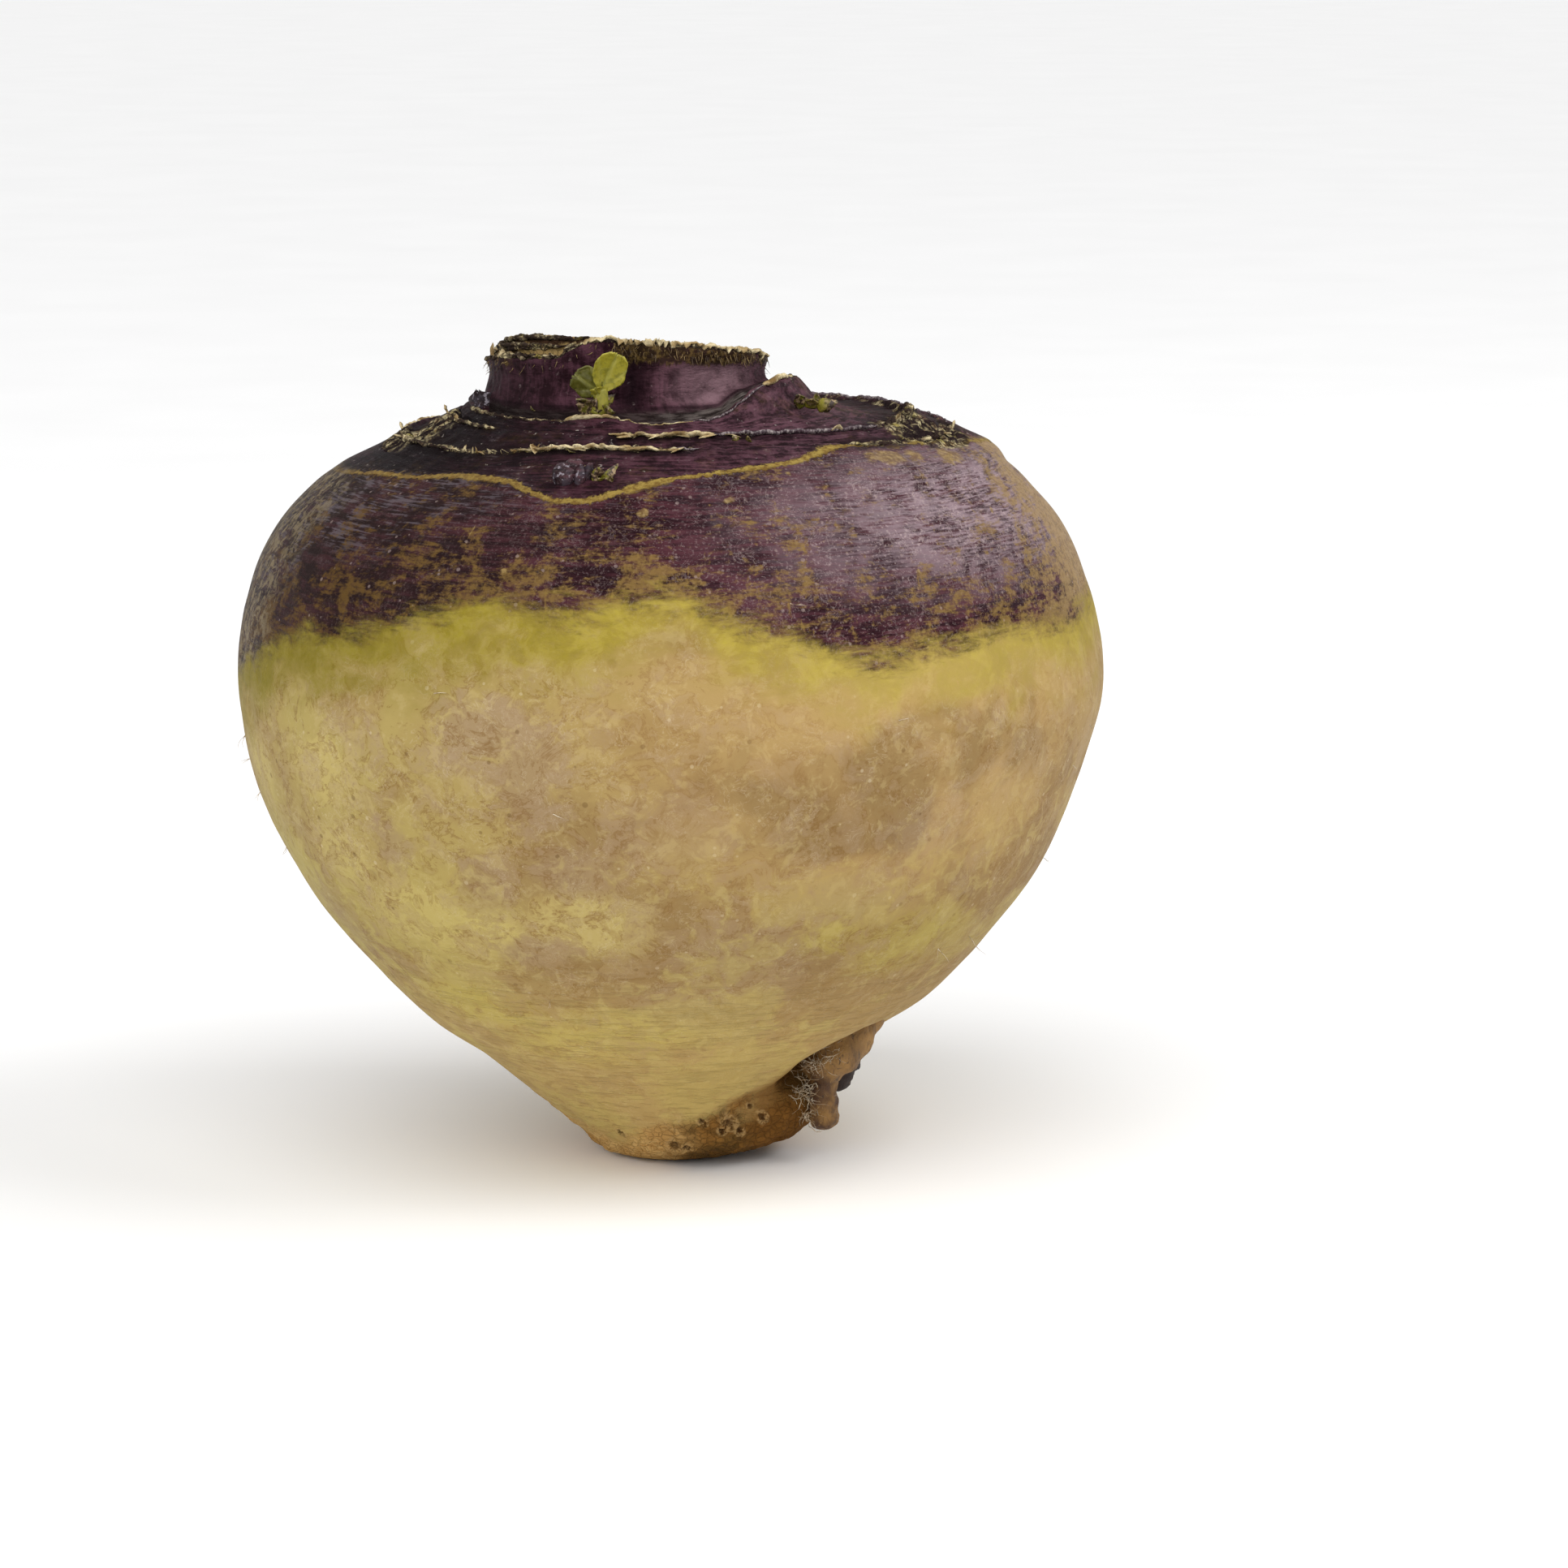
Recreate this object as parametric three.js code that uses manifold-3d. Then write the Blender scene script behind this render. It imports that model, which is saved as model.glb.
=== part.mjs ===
// A rutabaga (swede) as it stands on a kitchen counter: a top-shaped swollen root that rests on the small
// flat spot where its taproot was cut, side-root stubs under its right flank, and a trimmed neck on top,
// ringed by the terraces that old leaf bases leave. A young leafy sprout and a small green bud grow out of
// the crown.
//
// Units are millimetres, +Z up, -Y is the front. The origin is the centre of the flat spot.
// Azimuths are in degrees: 0 is +X (right), -90 is the front, 90 the back, 180 the left.
import * as THREE from "three";
import { mergeVertices } from "three/addons/utils/BufferGeometryUtils.js";
import Module from "manifold-3d";

// ---------- driving dimensions ----------
const COLUMNS = 80; // vertical strips round the root
const ROWS_PER_RING = 2; // rows of faces between one ring of BODY_RINGS and the next

// The root's outside as round rings: radius, height, and how far the ring's centre lies to the right.
const BODY_RINGS = [
  [8.8, 0.0, 0.0],
  [12.0, 1.0, 0.8],
  [16.4, 3.4, 2.9],
  [20.1, 7.5, 1.9],
  [23.4, 12.0, -0.4],
  [28.8, 16.6, -0.6],
  [36.5, 22.0, -0.3],
  [45.4, 31.0, -0.4],
  [54.4, 43.0, -0.4],
  [59.8, 56.0, -0.8],
  [62.5, 69.0, -0.1],
  [61.0, 81.5, -0.5],
  [57.2, 91.0, -0.4],
  [51.6, 98.0, 0.1],
  [45.0, 103.0, 1.2],
];
const LEAN_BACK = 3.0; // how far the neck's centre lies behind the flat spot's
const LEAN_FROM = 60; // height above which the root begins to lean
const FRONT_FLATTENING = 0.022; // the root is this much thinner from front to back than from side to side
const LUMPS = [
  // amplitude in mm, waves round the root, turn in degrees
  [1.1, 2, 0],
  [0.8, 3, 0],
  [0.35, 5, 40],
];
// Hollows under the belly at the front right. A hollow is centred at an azimuth and a height, climbs by climb
// mm for each degree to the right, and is as wide, tall and deep as given.
const HOLLOWS = [
  // the fold between the belly and the taproot
  { azimuth: -44, halfWidth: 56, height: 11.6, climb: 0.12, halfHeight: 4.6, depth: 1.4 },
  // the pocket that the side roots grow out of
  { azimuth: -26, halfWidth: 27, height: 16.6, climb: 0.02, halfHeight: 7.5, depth: 7.0 },
];

// The crown is a shallow dome. Its height falls with the fourth power of the distance from its own centre.
// Heights on the crown, below, are measured from the dome's top.
const DOME = { x: 2.2, y: 2.0, top: 109.6, fall: 1.61e-6, edge: 45 };

// The neck: a short trimmed stalk, off centre to the left, cut with a knife in a plane that slopes down
// to the back and to the right. Its bark is the dry outer ring of the cut face.
const NECK = {
  x: -6.3,
  y: LEAN_BACK,
  foot: 20.6,
  waist: 19.9,
  rim: 20.2,
  bark: 1.3,
  footHeight: 1.2,
  footAboveGroove: 0.4,
  waistHeight: 4.4,
};
const CUT = { height: 7.8, downToBack: Math.tan(rad(8.5)), downToRight: Math.tan(rad(3.4)) };
const NECK_CLEFTS = [
  // azimuth, depth in mm: the folds between neighbouring leaf stalks
  [-86, 1.6],
  [38, 1.2],
  [152, 1.3],
];
const CLEFT_WIDTH = 9; // degrees
// One leaf stalk, front left, was broken off lower than the knife's cut.
const LOW_STALK = { azimuth: -153, halfWidth: 66, drop: 2.9, inner: 17.0 };

// Leaf-base terraces, from the outside in. Each table holds [azimuth, value] pairs that are joined by a
// smooth curve round the crown: the lip's radius, the step down behind it, and how far it stands up.
const OUTER_TERRACE = {
  radius: [[-180, 41], [-137, 40.5], [-108, 37], [-70, 37.2], [-20, 38], [40, 38.5], [100, 39.5], [140, 41]],
  step: [[-180, 0.9], [-137, 0.9], [-108, 1.4], [-75, 1.2], [-45, 0.4], [0, 0.3], [50, 0.9], [100, 1.1]],
  lift: [[-180, 0.5], [-137, 0.4], [-108, 0.6], [-75, 0.5], [-45, 0.2], [0, 0.1], [50, 0.5], [100, 0.5]],
};
const MIDDLE_TERRACE = {
  radius: [[-180, 34], [-137, 34], [-108, 32.4], [-80, 32.2], [-45, 33], [0, 32.2], [45, 32.5], [90, 32]],
  step: [[-180, 1.0], [-137, 1.1], [-108, 1.1], [-80, 1.3], [-45, 1.2], [0, 1.2], [45, 0.6], [90, 1.1]],
  lift: [[-180, 0.8], [-137, 0.6], [-108, 0.5], [-80, 0.8], [-45, 0.5], [0, 0.9], [45, 0.3], [90, 0.7]],
};
// A lip in section: the apron that rises to it, its own width, and the riser down behind it.
const LIP = { apron: 2.4, width: 0.8, riser: 0.8 };
// The innermost leaf base is a collar round the neck. Its lip climbs the neck at each end of a leaf base,
// and above the level given here it leans in by leanIn for each millimetre that it climbs.
const COLLAR = {
  x: -4.5,
  y: 2.0,
  radius: 23.9,
  apron: 1.6,
  foot: -0.9,
  footClimb: 0.3,
  level: 0.3,
  leanIn: 0.3,
  grooveDepth: 1.1,
  wall: 1.4,
  clearOfNeck: 0.35,
};
const COLLAR_LIP = [
  [-180, 0.2], [-166, -0.4], [-120, -0.5], [-101, 0.5], [-84, -0.7], [-66, -0.3], [-36, 3.9], [-22, 4.6],
  [-8, 4.4], [4, 2.0], [14, 0.5], [40, 0.1], [75, 1.2], [108, 0.2], [136, 0.8], [156, 0.3],
];

// Side-root stubs under the right flank: points [x, y, z] and the stub's radius at each.
const ROOT_STUBS = [
  {
    path: [[28.2, -3, 21.8], [26, -6.5, 19], [23.8, -9.2, 16.4], [22, -9.8, 14.2]],
    radii: [3.4, 4.0, 4.0, 3.2],
  },
  { path: [[21.7, -8.4, 15], [22, -9.6, 10.5], [22.3, -9.6, 6.6]], radii: [2.1, 2.3, 2.2] },
  { path: [[26.5, 1.5, 19], [25.4, 0.5, 13.4], [24.2, -0.5, 10]], radii: [2.8, 2.5, 2.0] },
];
const STUB_STEPS = 7;
const STUB_SIDES = 10;

// A dormant bud: a smooth knob half sunk in the front of the shoulder.
const DORMANT_BUD = { at: [-12.6, -39.8, -5.4], size: [2.4, 2.0, 2.4] };

// The sprout stands in the groove between the neck and the collar, in front of the neck.
const SPROUT = {
  foot: [-9.7, -19.9, 0.75],
  top: [-9.2, -20.6, 4.3],
  radius: 0.95,
  // how far up the stem a leaf starts, its half width, half length, tilt to the right and lean to the front
  leaves: [
    { from: 0.95, wide: 2.5, long: 3.2, tilt: 20, lean: 5 },
    { from: 0.9, wide: 2.2, long: 2.8, tilt: -40, lean: 8 },
    { from: 0.15, wide: 0.9, long: 1.5, tilt: 46, lean: 20 },
    { from: 0.1, wide: 1.1, long: 1.5, tilt: -50, lean: 18 },
  ],
};
const LEAF = { thickness: 0.9, cup: 0.7, wave: 0.09, waves: 5, narrowing: 0.28 };

// The side bud: three short scales in the pocket below the collar's right-hand end.
// Each scale is [x, y, z, tilt in degrees] from the bud's place.
const SIDE_BUD = {
  at: [21.1, -11.5, 1.6],
  size: [1.0, 0.8, 1.4],
  scales: [[0, 0, 0, 20], [-1.2, -0.5, -0.2, -24], [1.2, -0.3, -0.2, 64]],
};

// ---------- helpers ----------
function rad(degrees) {
  return (degrees * Math.PI) / 180;
}

function smooth(from, to, value) {
  return THREE.MathUtils.smoothstep(value, from, to);
}

// The value at an azimuth of a table of [azimuth, value] pairs, which runs once round.
function around(table, azimuth) {
  const turned = THREE.MathUtils.euclideanModulo(azimuth - table[0][0], 360) + table[0][0];
  const next = table.findIndex((pair) => pair[0] > turned);
  const high = next < 0 ? [table[0][0] + 360, table[0][1]] : table[next];
  const low = table[(next < 0 ? table.length : next) - 1];
  return THREE.MathUtils.lerp(low[1], high[1], smooth(low[0], high[0], turned));
}

// 1 at the middle of a window of azimuths, falling smoothly to 0 at its ends.
function windowed(azimuth, middle, halfWidth) {
  const off = Math.abs(THREE.MathUtils.euclideanModulo(azimuth - middle + 180, 360) - 180);
  return off < halfWidth ? 0.5 + 0.5 * Math.cos((Math.PI * off) / halfWidth) : 0;
}

// A place on the crown, given with its height from the dome's top.
function onCrown([x, y, height]) {
  return [x, y, DOME.top + height];
}

function polar(centreX, centreY, radius, azimuth, height) {
  return new THREE.Vector3(
    centreX + radius * Math.cos(rad(azimuth)),
    centreY + radius * Math.sin(rad(azimuth)),
    height,
  );
}

// ---------- the root's outside ----------
const bodyCurve = new THREE.CatmullRomCurve3(
  BODY_RINGS.map(([radius, height, centreX]) => new THREE.Vector3(radius, height, centreX)),
  false,
  "centripetal",
);

function lumps(azimuth, height) {
  const fade = smooth(4, 30, height) * (1 - smooth(88, 104, height));
  const wave = ([size, count, turn]) => size * Math.sin(rad(count * azimuth + turn));
  return fade * LUMPS.reduce((sum, lump) => sum + wave(lump), 0);
}

function hollows(azimuth, height) {
  return HOLLOWS.reduce((sum, hollow) => {
    const middle = hollow.height + hollow.climb * (azimuth - hollow.azimuth);
    const near = Math.max(0, 1 - Math.abs(height - middle) / hollow.halfHeight);
    return sum + hollow.depth * windowed(azimuth, hollow.azimuth, hollow.halfWidth) * smooth(0, 1, near);
  }, 0);
}

function bodyPoint(share, azimuth) {
  const ring = bodyCurve.getPoint(share);
  const height = ring.y;
  const flattened = 1 - FRONT_FLATTENING * Math.sin(rad(azimuth)) ** 2 * smooth(10, 40, height);
  const radius = ring.x * flattened + lumps(azimuth, height) - hollows(azimuth, height);
  const back = THREE.MathUtils.lerp(0, DOME.y, smooth(LEAN_FROM, DOME.top, height));
  return polar(ring.z, back, radius, azimuth, height);
}

function domeHeight(radius) {
  return DOME.top - DOME.fall * radius ** 4;
}

function domePoint(radius, azimuth, raise = 0) {
  return polar(DOME.x, DOME.y, radius, azimuth, domeHeight(radius) + raise);
}

function cutHeight(x, y) {
  return DOME.top + CUT.height - CUT.downToBack * (y - NECK.y) - CUT.downToRight * (x - NECK.x);
}

function neckPoint(radius, azimuth, height) {
  const cleft = NECK_CLEFTS.reduce((sum, [at, depth]) => sum + depth * windowed(azimuth, at, CLEFT_WIDTH), 0);
  return polar(NECK.x, NECK.y, radius - cleft * (radius / NECK.rim) ** 2, azimuth, height);
}

// A point of the cut face. The low stalk's part of the rim lies below the knife's plane.
function cutPoint(radius, azimuth) {
  const at = neckPoint(radius, azimuth, 0);
  const stalk = windowed(azimuth, LOW_STALK.azimuth, LOW_STALK.halfWidth);
  const outer = smooth(LOW_STALK.inner, NECK.rim - NECK.bark, radius);
  at.z = cutHeight(at.x, at.y) - LOW_STALK.drop * outer * smooth(0.1, 0.5, stalk);
  return at;
}

function terrace({ radius, step, lift }, azimuth) {
  const lip = around(radius, azimuth);
  const raise = around(lift, azimuth);
  return [
    domePoint(lip + LIP.apron, azimuth),
    domePoint(lip, azimuth, raise),
    domePoint(lip - LIP.width, azimuth, raise),
    domePoint(lip - LIP.width - LIP.riser, azimuth, raise - around(step, azimuth)),
  ];
}

// How far the groove between the neck and the collar lies above the dome's top.
function groove(azimuth) {
  const lip = around(COLLAR_LIP, azimuth);
  return Math.max(Math.min(lip, NECK.footHeight) - COLLAR.grooveDepth, lip - COLLAR.wall);
}

function neckFoot(azimuth) {
  const height = Math.max(NECK.footHeight, groove(azimuth) + NECK.footAboveGroove);
  return neckPoint(NECK.foot, azimuth, DOME.top + height);
}

function collar(azimuth) {
  const lip = around(COLLAR_LIP, azimuth);
  const lean = COLLAR.leanIn * Math.max(0, lip - COLLAR.level);
  const radius = COLLAR.radius - lean;
  return [
    [COLLAR.radius + COLLAR.apron + lean, COLLAR.foot + COLLAR.footClimb * lip],
    [radius, lip],
    [radius - LIP.width, lip],
    [Math.max(radius - LIP.width - LIP.riser, NECK.foot + COLLAR.clearOfNeck), groove(azimuth)],
  ].map(([reach, height]) => polar(COLLAR.x, COLLAR.y, reach, azimuth, DOME.top + height));
}

// Points up one side of the root, from the edge of the flat spot to the middle of the cut face.
function meridian(azimuth) {
  const rows = (BODY_RINGS.length - 1) * ROWS_PER_RING;
  return [
    ...Array.from({ length: rows }, (_, row) => bodyPoint(row / rows, azimuth)),
    domePoint(DOME.edge, azimuth),
    ...terrace(OUTER_TERRACE, azimuth),
    ...terrace(MIDDLE_TERRACE, azimuth).slice(1),
    ...collar(azimuth),
    neckFoot(azimuth),
    neckPoint(NECK.waist, azimuth, DOME.top + NECK.waistHeight),
    cutPoint(NECK.rim, azimuth),
    cutPoint(NECK.rim - NECK.bark, azimuth),
    cutPoint(LOW_STALK.inner, azimuth),
    cutPoint(LOW_STALK.inner * 0.5, azimuth),
  ];
}

// A closed skin over rings of points that are stacked from the bottom up, with a point at each end.
function skin(columns, bottom, top) {
  const rows = columns[0].length;
  const points = [bottom, top, ...columns.flat()];
  const at = (column, row) => 2 + (column % columns.length) * rows + row;
  const faces = [];
  columns.forEach((_, column) => {
    faces.push(0, at(column + 1, 0), at(column, 0));
    for (let row = 0; row + 1 < rows; row += 1) {
      const [low, high] = [row, row + 1].map((level) => [at(column, level), at(column + 1, level)]);
      faces.push(low[0], low[1], high[1], low[0], high[1], high[0]);
    }
    faces.push(1, at(column, rows - 1), at(column + 1, rows - 1));
  });
  return new THREE.BufferGeometry().setFromPoints(points).setIndex(faces);
}

function rootSkin() {
  const columns = Array.from({ length: COLUMNS }, (_, column) => meridian(-180 + (column * 360) / COLUMNS));
  const bottom = new THREE.Vector3(BODY_RINGS[0][2], 0, 0);
  const top = new THREE.Vector3(NECK.x, NECK.y, DOME.top + CUT.height);
  return skin(columns, bottom, top);
}

// ---------- small parts ----------
// A tapering stub along a smooth path, with a rounded tip.
function stub({ path, radii }) {
  const curve = new THREE.CatmullRomCurve3(path.map((point) => new THREE.Vector3(...point)));
  const steps = STUB_STEPS;
  const frames = curve.computeFrenetFrames(steps, false);
  const along = [...Array(steps + 1).keys()];
  const radiusAt = (share) => {
    const place = share * (radii.length - 1);
    const low = Math.min(Math.floor(place), radii.length - 2);
    return THREE.MathUtils.lerp(radii[low], radii[low + 1], place - low);
  };
  const last = radii[radii.length - 1];
  const ring = (step, swell, push) => (side) => {
    const turn = (2 * Math.PI * side) / STUB_SIDES;
    const knobbly = swell * (1 + 0.07 * Math.sin(2.3 * step + 3 * turn));
    return curve.getPoint(step / steps)
      .addScaledVector(frames.normals[step], knobbly * Math.cos(turn))
      .addScaledVector(frames.binormals[step], knobbly * Math.sin(turn))
      .addScaledVector(frames.tangents[step], push);
  };
  const rings = [
    ...along.map((step) => ring(step, radiusAt(step / steps), 0)),
    ring(steps, last * 0.8, last * 0.6),
    ring(steps, last * 0.4, last * 0.9),
  ];
  const columns = Array.from({ length: STUB_SIDES }, (_, side) => rings.map((place) => place(side)));
  const tip = curve.getPoint(1).addScaledVector(frames.tangents[steps], last);
  return skin(columns, curve.getPoint(0), tip);
}

function ellipsoid(at, size, across = 14, up = 10) {
  return new THREE.SphereGeometry(1, across, up).scale(...size).translate(...at);
}

// A small cupped leaf with a waved edge. Its narrow foot is sunk in the stem.
function leaf({ from, wide, long, tilt, lean }) {
  const blade = new THREE.SphereGeometry(1, 16, 8);
  const place = blade.attributes.position;
  for (let i = 0; i < place.count; i += 1) {
    const [x, y, z] = [place.getX(i), place.getY(i), place.getZ(i)];
    const edge = Math.hypot(x, z);
    const wave = 1 + LEAF.wave * edge * Math.sin(LEAF.waves * Math.atan2(z, x));
    const narrow = 1 - LEAF.narrowing * Math.max(0, -z);
    const cupped = (y * LEAF.thickness) / 2 - LEAF.cup * edge * edge;
    place.setXYZ(i, x * wide * wave * narrow, cupped, z * long * wave);
  }
  const [foot, top] = [SPROUT.foot, SPROUT.top].map((at) => new THREE.Vector3(...onCrown(at)));
  const start = foot.lerp(top, from);
  return blade
    .translate(0, LEAF.cup - LEAF.thickness / 4, long * 0.86)
    .rotateX(rad(lean))
    .rotateY(rad(tilt))
    .translate(...start);
}

// ---------- solids ----------
const wasm = await Module();
wasm.setup();

function solid(geometry) {
  const bare = geometry.clone();
  bare.deleteAttribute("normal");
  bare.deleteAttribute("uv");
  const merged = mergeVertices(bare, 1e-4);
  return new wasm.Manifold(
    new wasm.Mesh({
      numProp: 3,
      vertProperties: new Float32Array(merged.attributes.position.array),
      triVerts: new Uint32Array(merged.index.array),
    }),
  );
}

function joined(geometries) {
  const whole = geometries.map(solid).reduce((sum, next) => sum.add(next));
  const mesh = whole.getMesh();
  const made = new THREE.BufferGeometry();
  made.setAttribute("position", new THREE.BufferAttribute(new Float32Array(mesh.vertProperties), 3));
  made.setIndex(new THREE.BufferAttribute(new Uint32Array(mesh.triVerts), 1));
  made.computeVertexNormals();
  return made;
}

function piece(name, geometries, color, roughness) {
  const material = new THREE.MeshStandardMaterial({ color, roughness, metalness: 0 });
  const mesh = new THREE.Mesh(joined(geometries), material);
  mesh.name = name;
  return mesh;
}

// ---------- the rutabaga ----------
const rutabaga = new THREE.Group();

const knob = ellipsoid(onCrown(DORMANT_BUD.at), DORMANT_BUD.size);
rutabaga.add(piece("root", [rootSkin(), ...ROOT_STUBS.map(stub), knob], 0xb08a5a, 0.55));

const stem = stub({
  path: [SPROUT.foot, SPROUT.top].map(onCrown),
  radii: [SPROUT.radius, SPROUT.radius * 0.8],
});
rutabaga.add(piece("sprout", [stem, ...SPROUT.leaves.map(leaf)], 0x9a9a2c, 0.5));

const budScales = SIDE_BUD.scales.map(([x, y, z, tilt]) =>
  ellipsoid([0, 0, 0], SIDE_BUD.size, 10, 6)
    .rotateY(rad(tilt))
    .translate(x, y, z)
    .translate(...onCrown(SIDE_BUD.at)),
);
rutabaga.add(piece("side_bud", budScales, 0x8f8a2e, 0.5));

export default rutabaga;
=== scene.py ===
# %% [markdown]
# # A rutabaga, cell by cell
#
# A rutabaga, or swede, is one swollen root. Its lower half grew in the soil and is buff and smooth. Its
# shoulders stood in the light and turned purple, and the crown on top carries the scars of old leaves round
# a neck that was trimmed with a knife. This lesson starts from a plain solid of the right size and gives it
# a finely sculpted skin, its colours, its cork, its young leaves and its root hairs.

# %% Load the frame and the tools
import math
import random

import bmesh
import bpy
from mathutils import Matrix, Vector, noise
from mathutils.bvhtree import BVHTree


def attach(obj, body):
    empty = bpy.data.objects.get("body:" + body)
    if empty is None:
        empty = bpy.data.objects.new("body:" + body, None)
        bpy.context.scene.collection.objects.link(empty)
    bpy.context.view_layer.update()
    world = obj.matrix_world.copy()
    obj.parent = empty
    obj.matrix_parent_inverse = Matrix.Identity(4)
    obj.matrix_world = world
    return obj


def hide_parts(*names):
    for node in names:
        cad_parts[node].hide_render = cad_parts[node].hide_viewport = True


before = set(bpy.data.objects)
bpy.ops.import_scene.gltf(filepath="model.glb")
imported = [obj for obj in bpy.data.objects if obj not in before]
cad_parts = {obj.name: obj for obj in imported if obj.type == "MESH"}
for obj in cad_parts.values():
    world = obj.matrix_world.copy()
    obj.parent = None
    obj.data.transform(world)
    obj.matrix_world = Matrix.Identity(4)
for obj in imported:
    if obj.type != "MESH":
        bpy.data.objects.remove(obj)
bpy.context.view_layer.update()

MM = 0.001  # sizes are given in millimetres, and Blender's unit is the metre
print("nodes:", sorted(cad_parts))

# %% [markdown]
# ## Camera, light and table
#
# The root is seen from a little above, through a long lens, so it keeps its true outline. A bright overcast
# sky, which is a distant lamp as wide as a quarter of the sky, lights it from the upper left and the front,
# and a window on the right puts a veil of light on the waxy shoulder. Small lamps would give hard shadows.

# %% Camera
CAMERA_TARGET = Vector((16.4, -1.2, 54.26)) * MM
CAMERA_DISTANCE = 800 * MM
CAMERA_TILT = math.radians(10)  # looking down
LENS = 126.4

camera = bpy.data.objects.new("camera", bpy.data.cameras.new("camera"))
bpy.context.scene.collection.objects.link(camera)
toward_camera = Vector((0, -math.cos(CAMERA_TILT), math.sin(CAMERA_TILT)))
camera.location = CAMERA_TARGET + toward_camera * CAMERA_DISTANCE
camera.rotation_euler = (math.pi / 2 - CAMERA_TILT, 0, 0)
camera.data.lens = LENS
camera.data.sensor_width = 36
camera.data.clip_end = 100
bpy.context.scene.camera = camera
print("camera", CAMERA_DISTANCE, "m away, with a lens of", LENS, "mm")

# %% Lights
OVERCAST = {"tilt": (38, -20), "width": 75, "strength": 2.25}  # degrees, degrees, watts a square metre
SKY_STRENGTH = 0.46
WINDOW = {"place": (0.75, -0.15, 0.85), "width": 0.7, "power": 6.0}  # metres, metres, watts

overcast = bpy.data.objects.new("overcast", bpy.data.lights.new("overcast", "SUN"))
bpy.context.scene.collection.objects.link(overcast)
overcast.rotation_euler = (math.radians(OVERCAST["tilt"][0]), math.radians(OVERCAST["tilt"][1]), 0)
overcast.data.angle = math.radians(OVERCAST["width"])
overcast.data.energy = OVERCAST["strength"]

window = bpy.data.objects.new("window", bpy.data.lights.new("window", "AREA"))
bpy.context.scene.collection.objects.link(window)
window.location = WINDOW["place"]
window.rotation_euler = (Vector((0, 0, 0.06)) - window.location).to_track_quat("-Z", "Y").to_euler()
window.data.size = WINDOW["width"]
window.data.energy = WINDOW["power"]

world = bpy.data.worlds.new("soft sky")
world.use_nodes = True
world.node_tree.nodes["Background"].inputs["Color"].default_value = (1.0, 1.0, 1.0, 1.0)
world.node_tree.nodes["Background"].inputs["Strength"].default_value = SKY_STRENGTH
bpy.context.scene.world = world
bpy.context.scene.view_settings.view_transform = "Standard"
print("lights:", [lamp.name for lamp in bpy.data.lights])

# %% [markdown]
# ## Short names for shader nodes
#
# A procedural finish is a graph of small nodes. Wiring each by hand hides the idea, so a few helpers place a
# node, do sums, turn a range of values into a mask, and mix or lay colours. Colours are written as screen
# values from 0 to 255, which are easier to judge, and are converted to the linear values Blender works in.

# %% Shader helpers
def screen_colour(red, green, blue):
    def linear(value):
        share = value / 255
        return share / 12.92 if share <= 0.04045 else ((share + 0.055) / 1.055) ** 2.4
    return (linear(red), linear(green), linear(blue), 1.0)


def put(tree, kind, inputs=None, **settings):
    """A new node, with its inputs wired to sockets or set to values."""
    node = tree.nodes.new(kind)
    for name, value in settings.items():
        setattr(node, name, value)
    for name, value in (inputs or {}).items():
        if isinstance(value, bpy.types.NodeSocket):
            tree.links.new(value, node.inputs[name])
        else:
            node.inputs[name].default_value = value
    return node


def sums(tree, operation, first, second=0.0, third=0.0):
    return put(tree, "ShaderNodeMath", {0: first, 1: second, 2: third}, operation=operation).outputs[0]


def mixed(tree, share, under, over):
    """The colour over laid on the colour under, by a share from 0 to 1."""
    node = put(tree, "ShaderNodeMix", data_type="RGBA", clamp_factor=True)
    for slot, value in ((0, share), (6, under), (7, over)):
        if isinstance(value, bpy.types.NodeSocket):
            tree.links.new(value, node.inputs[slot])
        else:
            node.inputs[slot].default_value = value
    return node.outputs[2]


def times(tree, first, second):
    return sums(tree, "MULTIPLY", first, second)


def added(tree, base, value, factor):
    """The base plus the value times the factor."""
    return sums(tree, "MULTIPLY_ADD", value, factor, base)


def laid(tree, under, share, strength, paint):
    """Lays a screen colour over another colour, where the share is high, by a strength."""
    return mixed(tree, times(tree, share, strength), under, screen_colour(*paint))


def mask(tree, value, low, high):
    """0 where value is under low, 1 where it is over high, and smooth between."""
    node = put(tree, "ShaderNodeMapRange", {"Value": value}, interpolation_type="SMOOTHSTEP")
    flipped = low > high
    node.inputs["From Min"].default_value = min(low, high)
    node.inputs["From Max"].default_value = max(low, high)
    node.inputs["To Min"].default_value = 1.0 if flipped else 0.0
    node.inputs["To Max"].default_value = 0.0 if flipped else 1.0
    return node.outputs[0]


def blended(tree, value, low, high, paint, other):
    """One screen colour where value is under low, another where it is over high."""
    return mixed(tree, mask(tree, value, low, high), screen_colour(*paint), screen_colour(*other))


def cloud(tree, place, size=(1, 1, 1), detail=3.0, rough=0.5, warp=0.0):
    """Noise whose features are size millimetres across, along x, y and z of a place in millimetres."""
    scaled = put(tree, "ShaderNodeVectorMath", {0: place, 1: tuple(1 / side for side in size)},
                 operation="MULTIPLY").outputs[0]
    inputs = {"Vector": scaled, "Scale": 1.0, "Detail": detail, "Roughness": rough, "Distortion": warp}
    return put(tree, "ShaderNodeTexNoise", inputs).outputs["Fac"]


def named(tree, attribute, output="Fac"):
    return put(tree, "ShaderNodeAttribute", attribute_name=attribute).outputs[output]


def millimetres(tree):
    """The place on the object, in millimetres."""
    place = put(tree, "ShaderNodeTexCoord").outputs["Object"]
    return put(tree, "ShaderNodeVectorMath", {0: place, "Scale": 1 / MM}, operation="SCALE").outputs[0]


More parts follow.
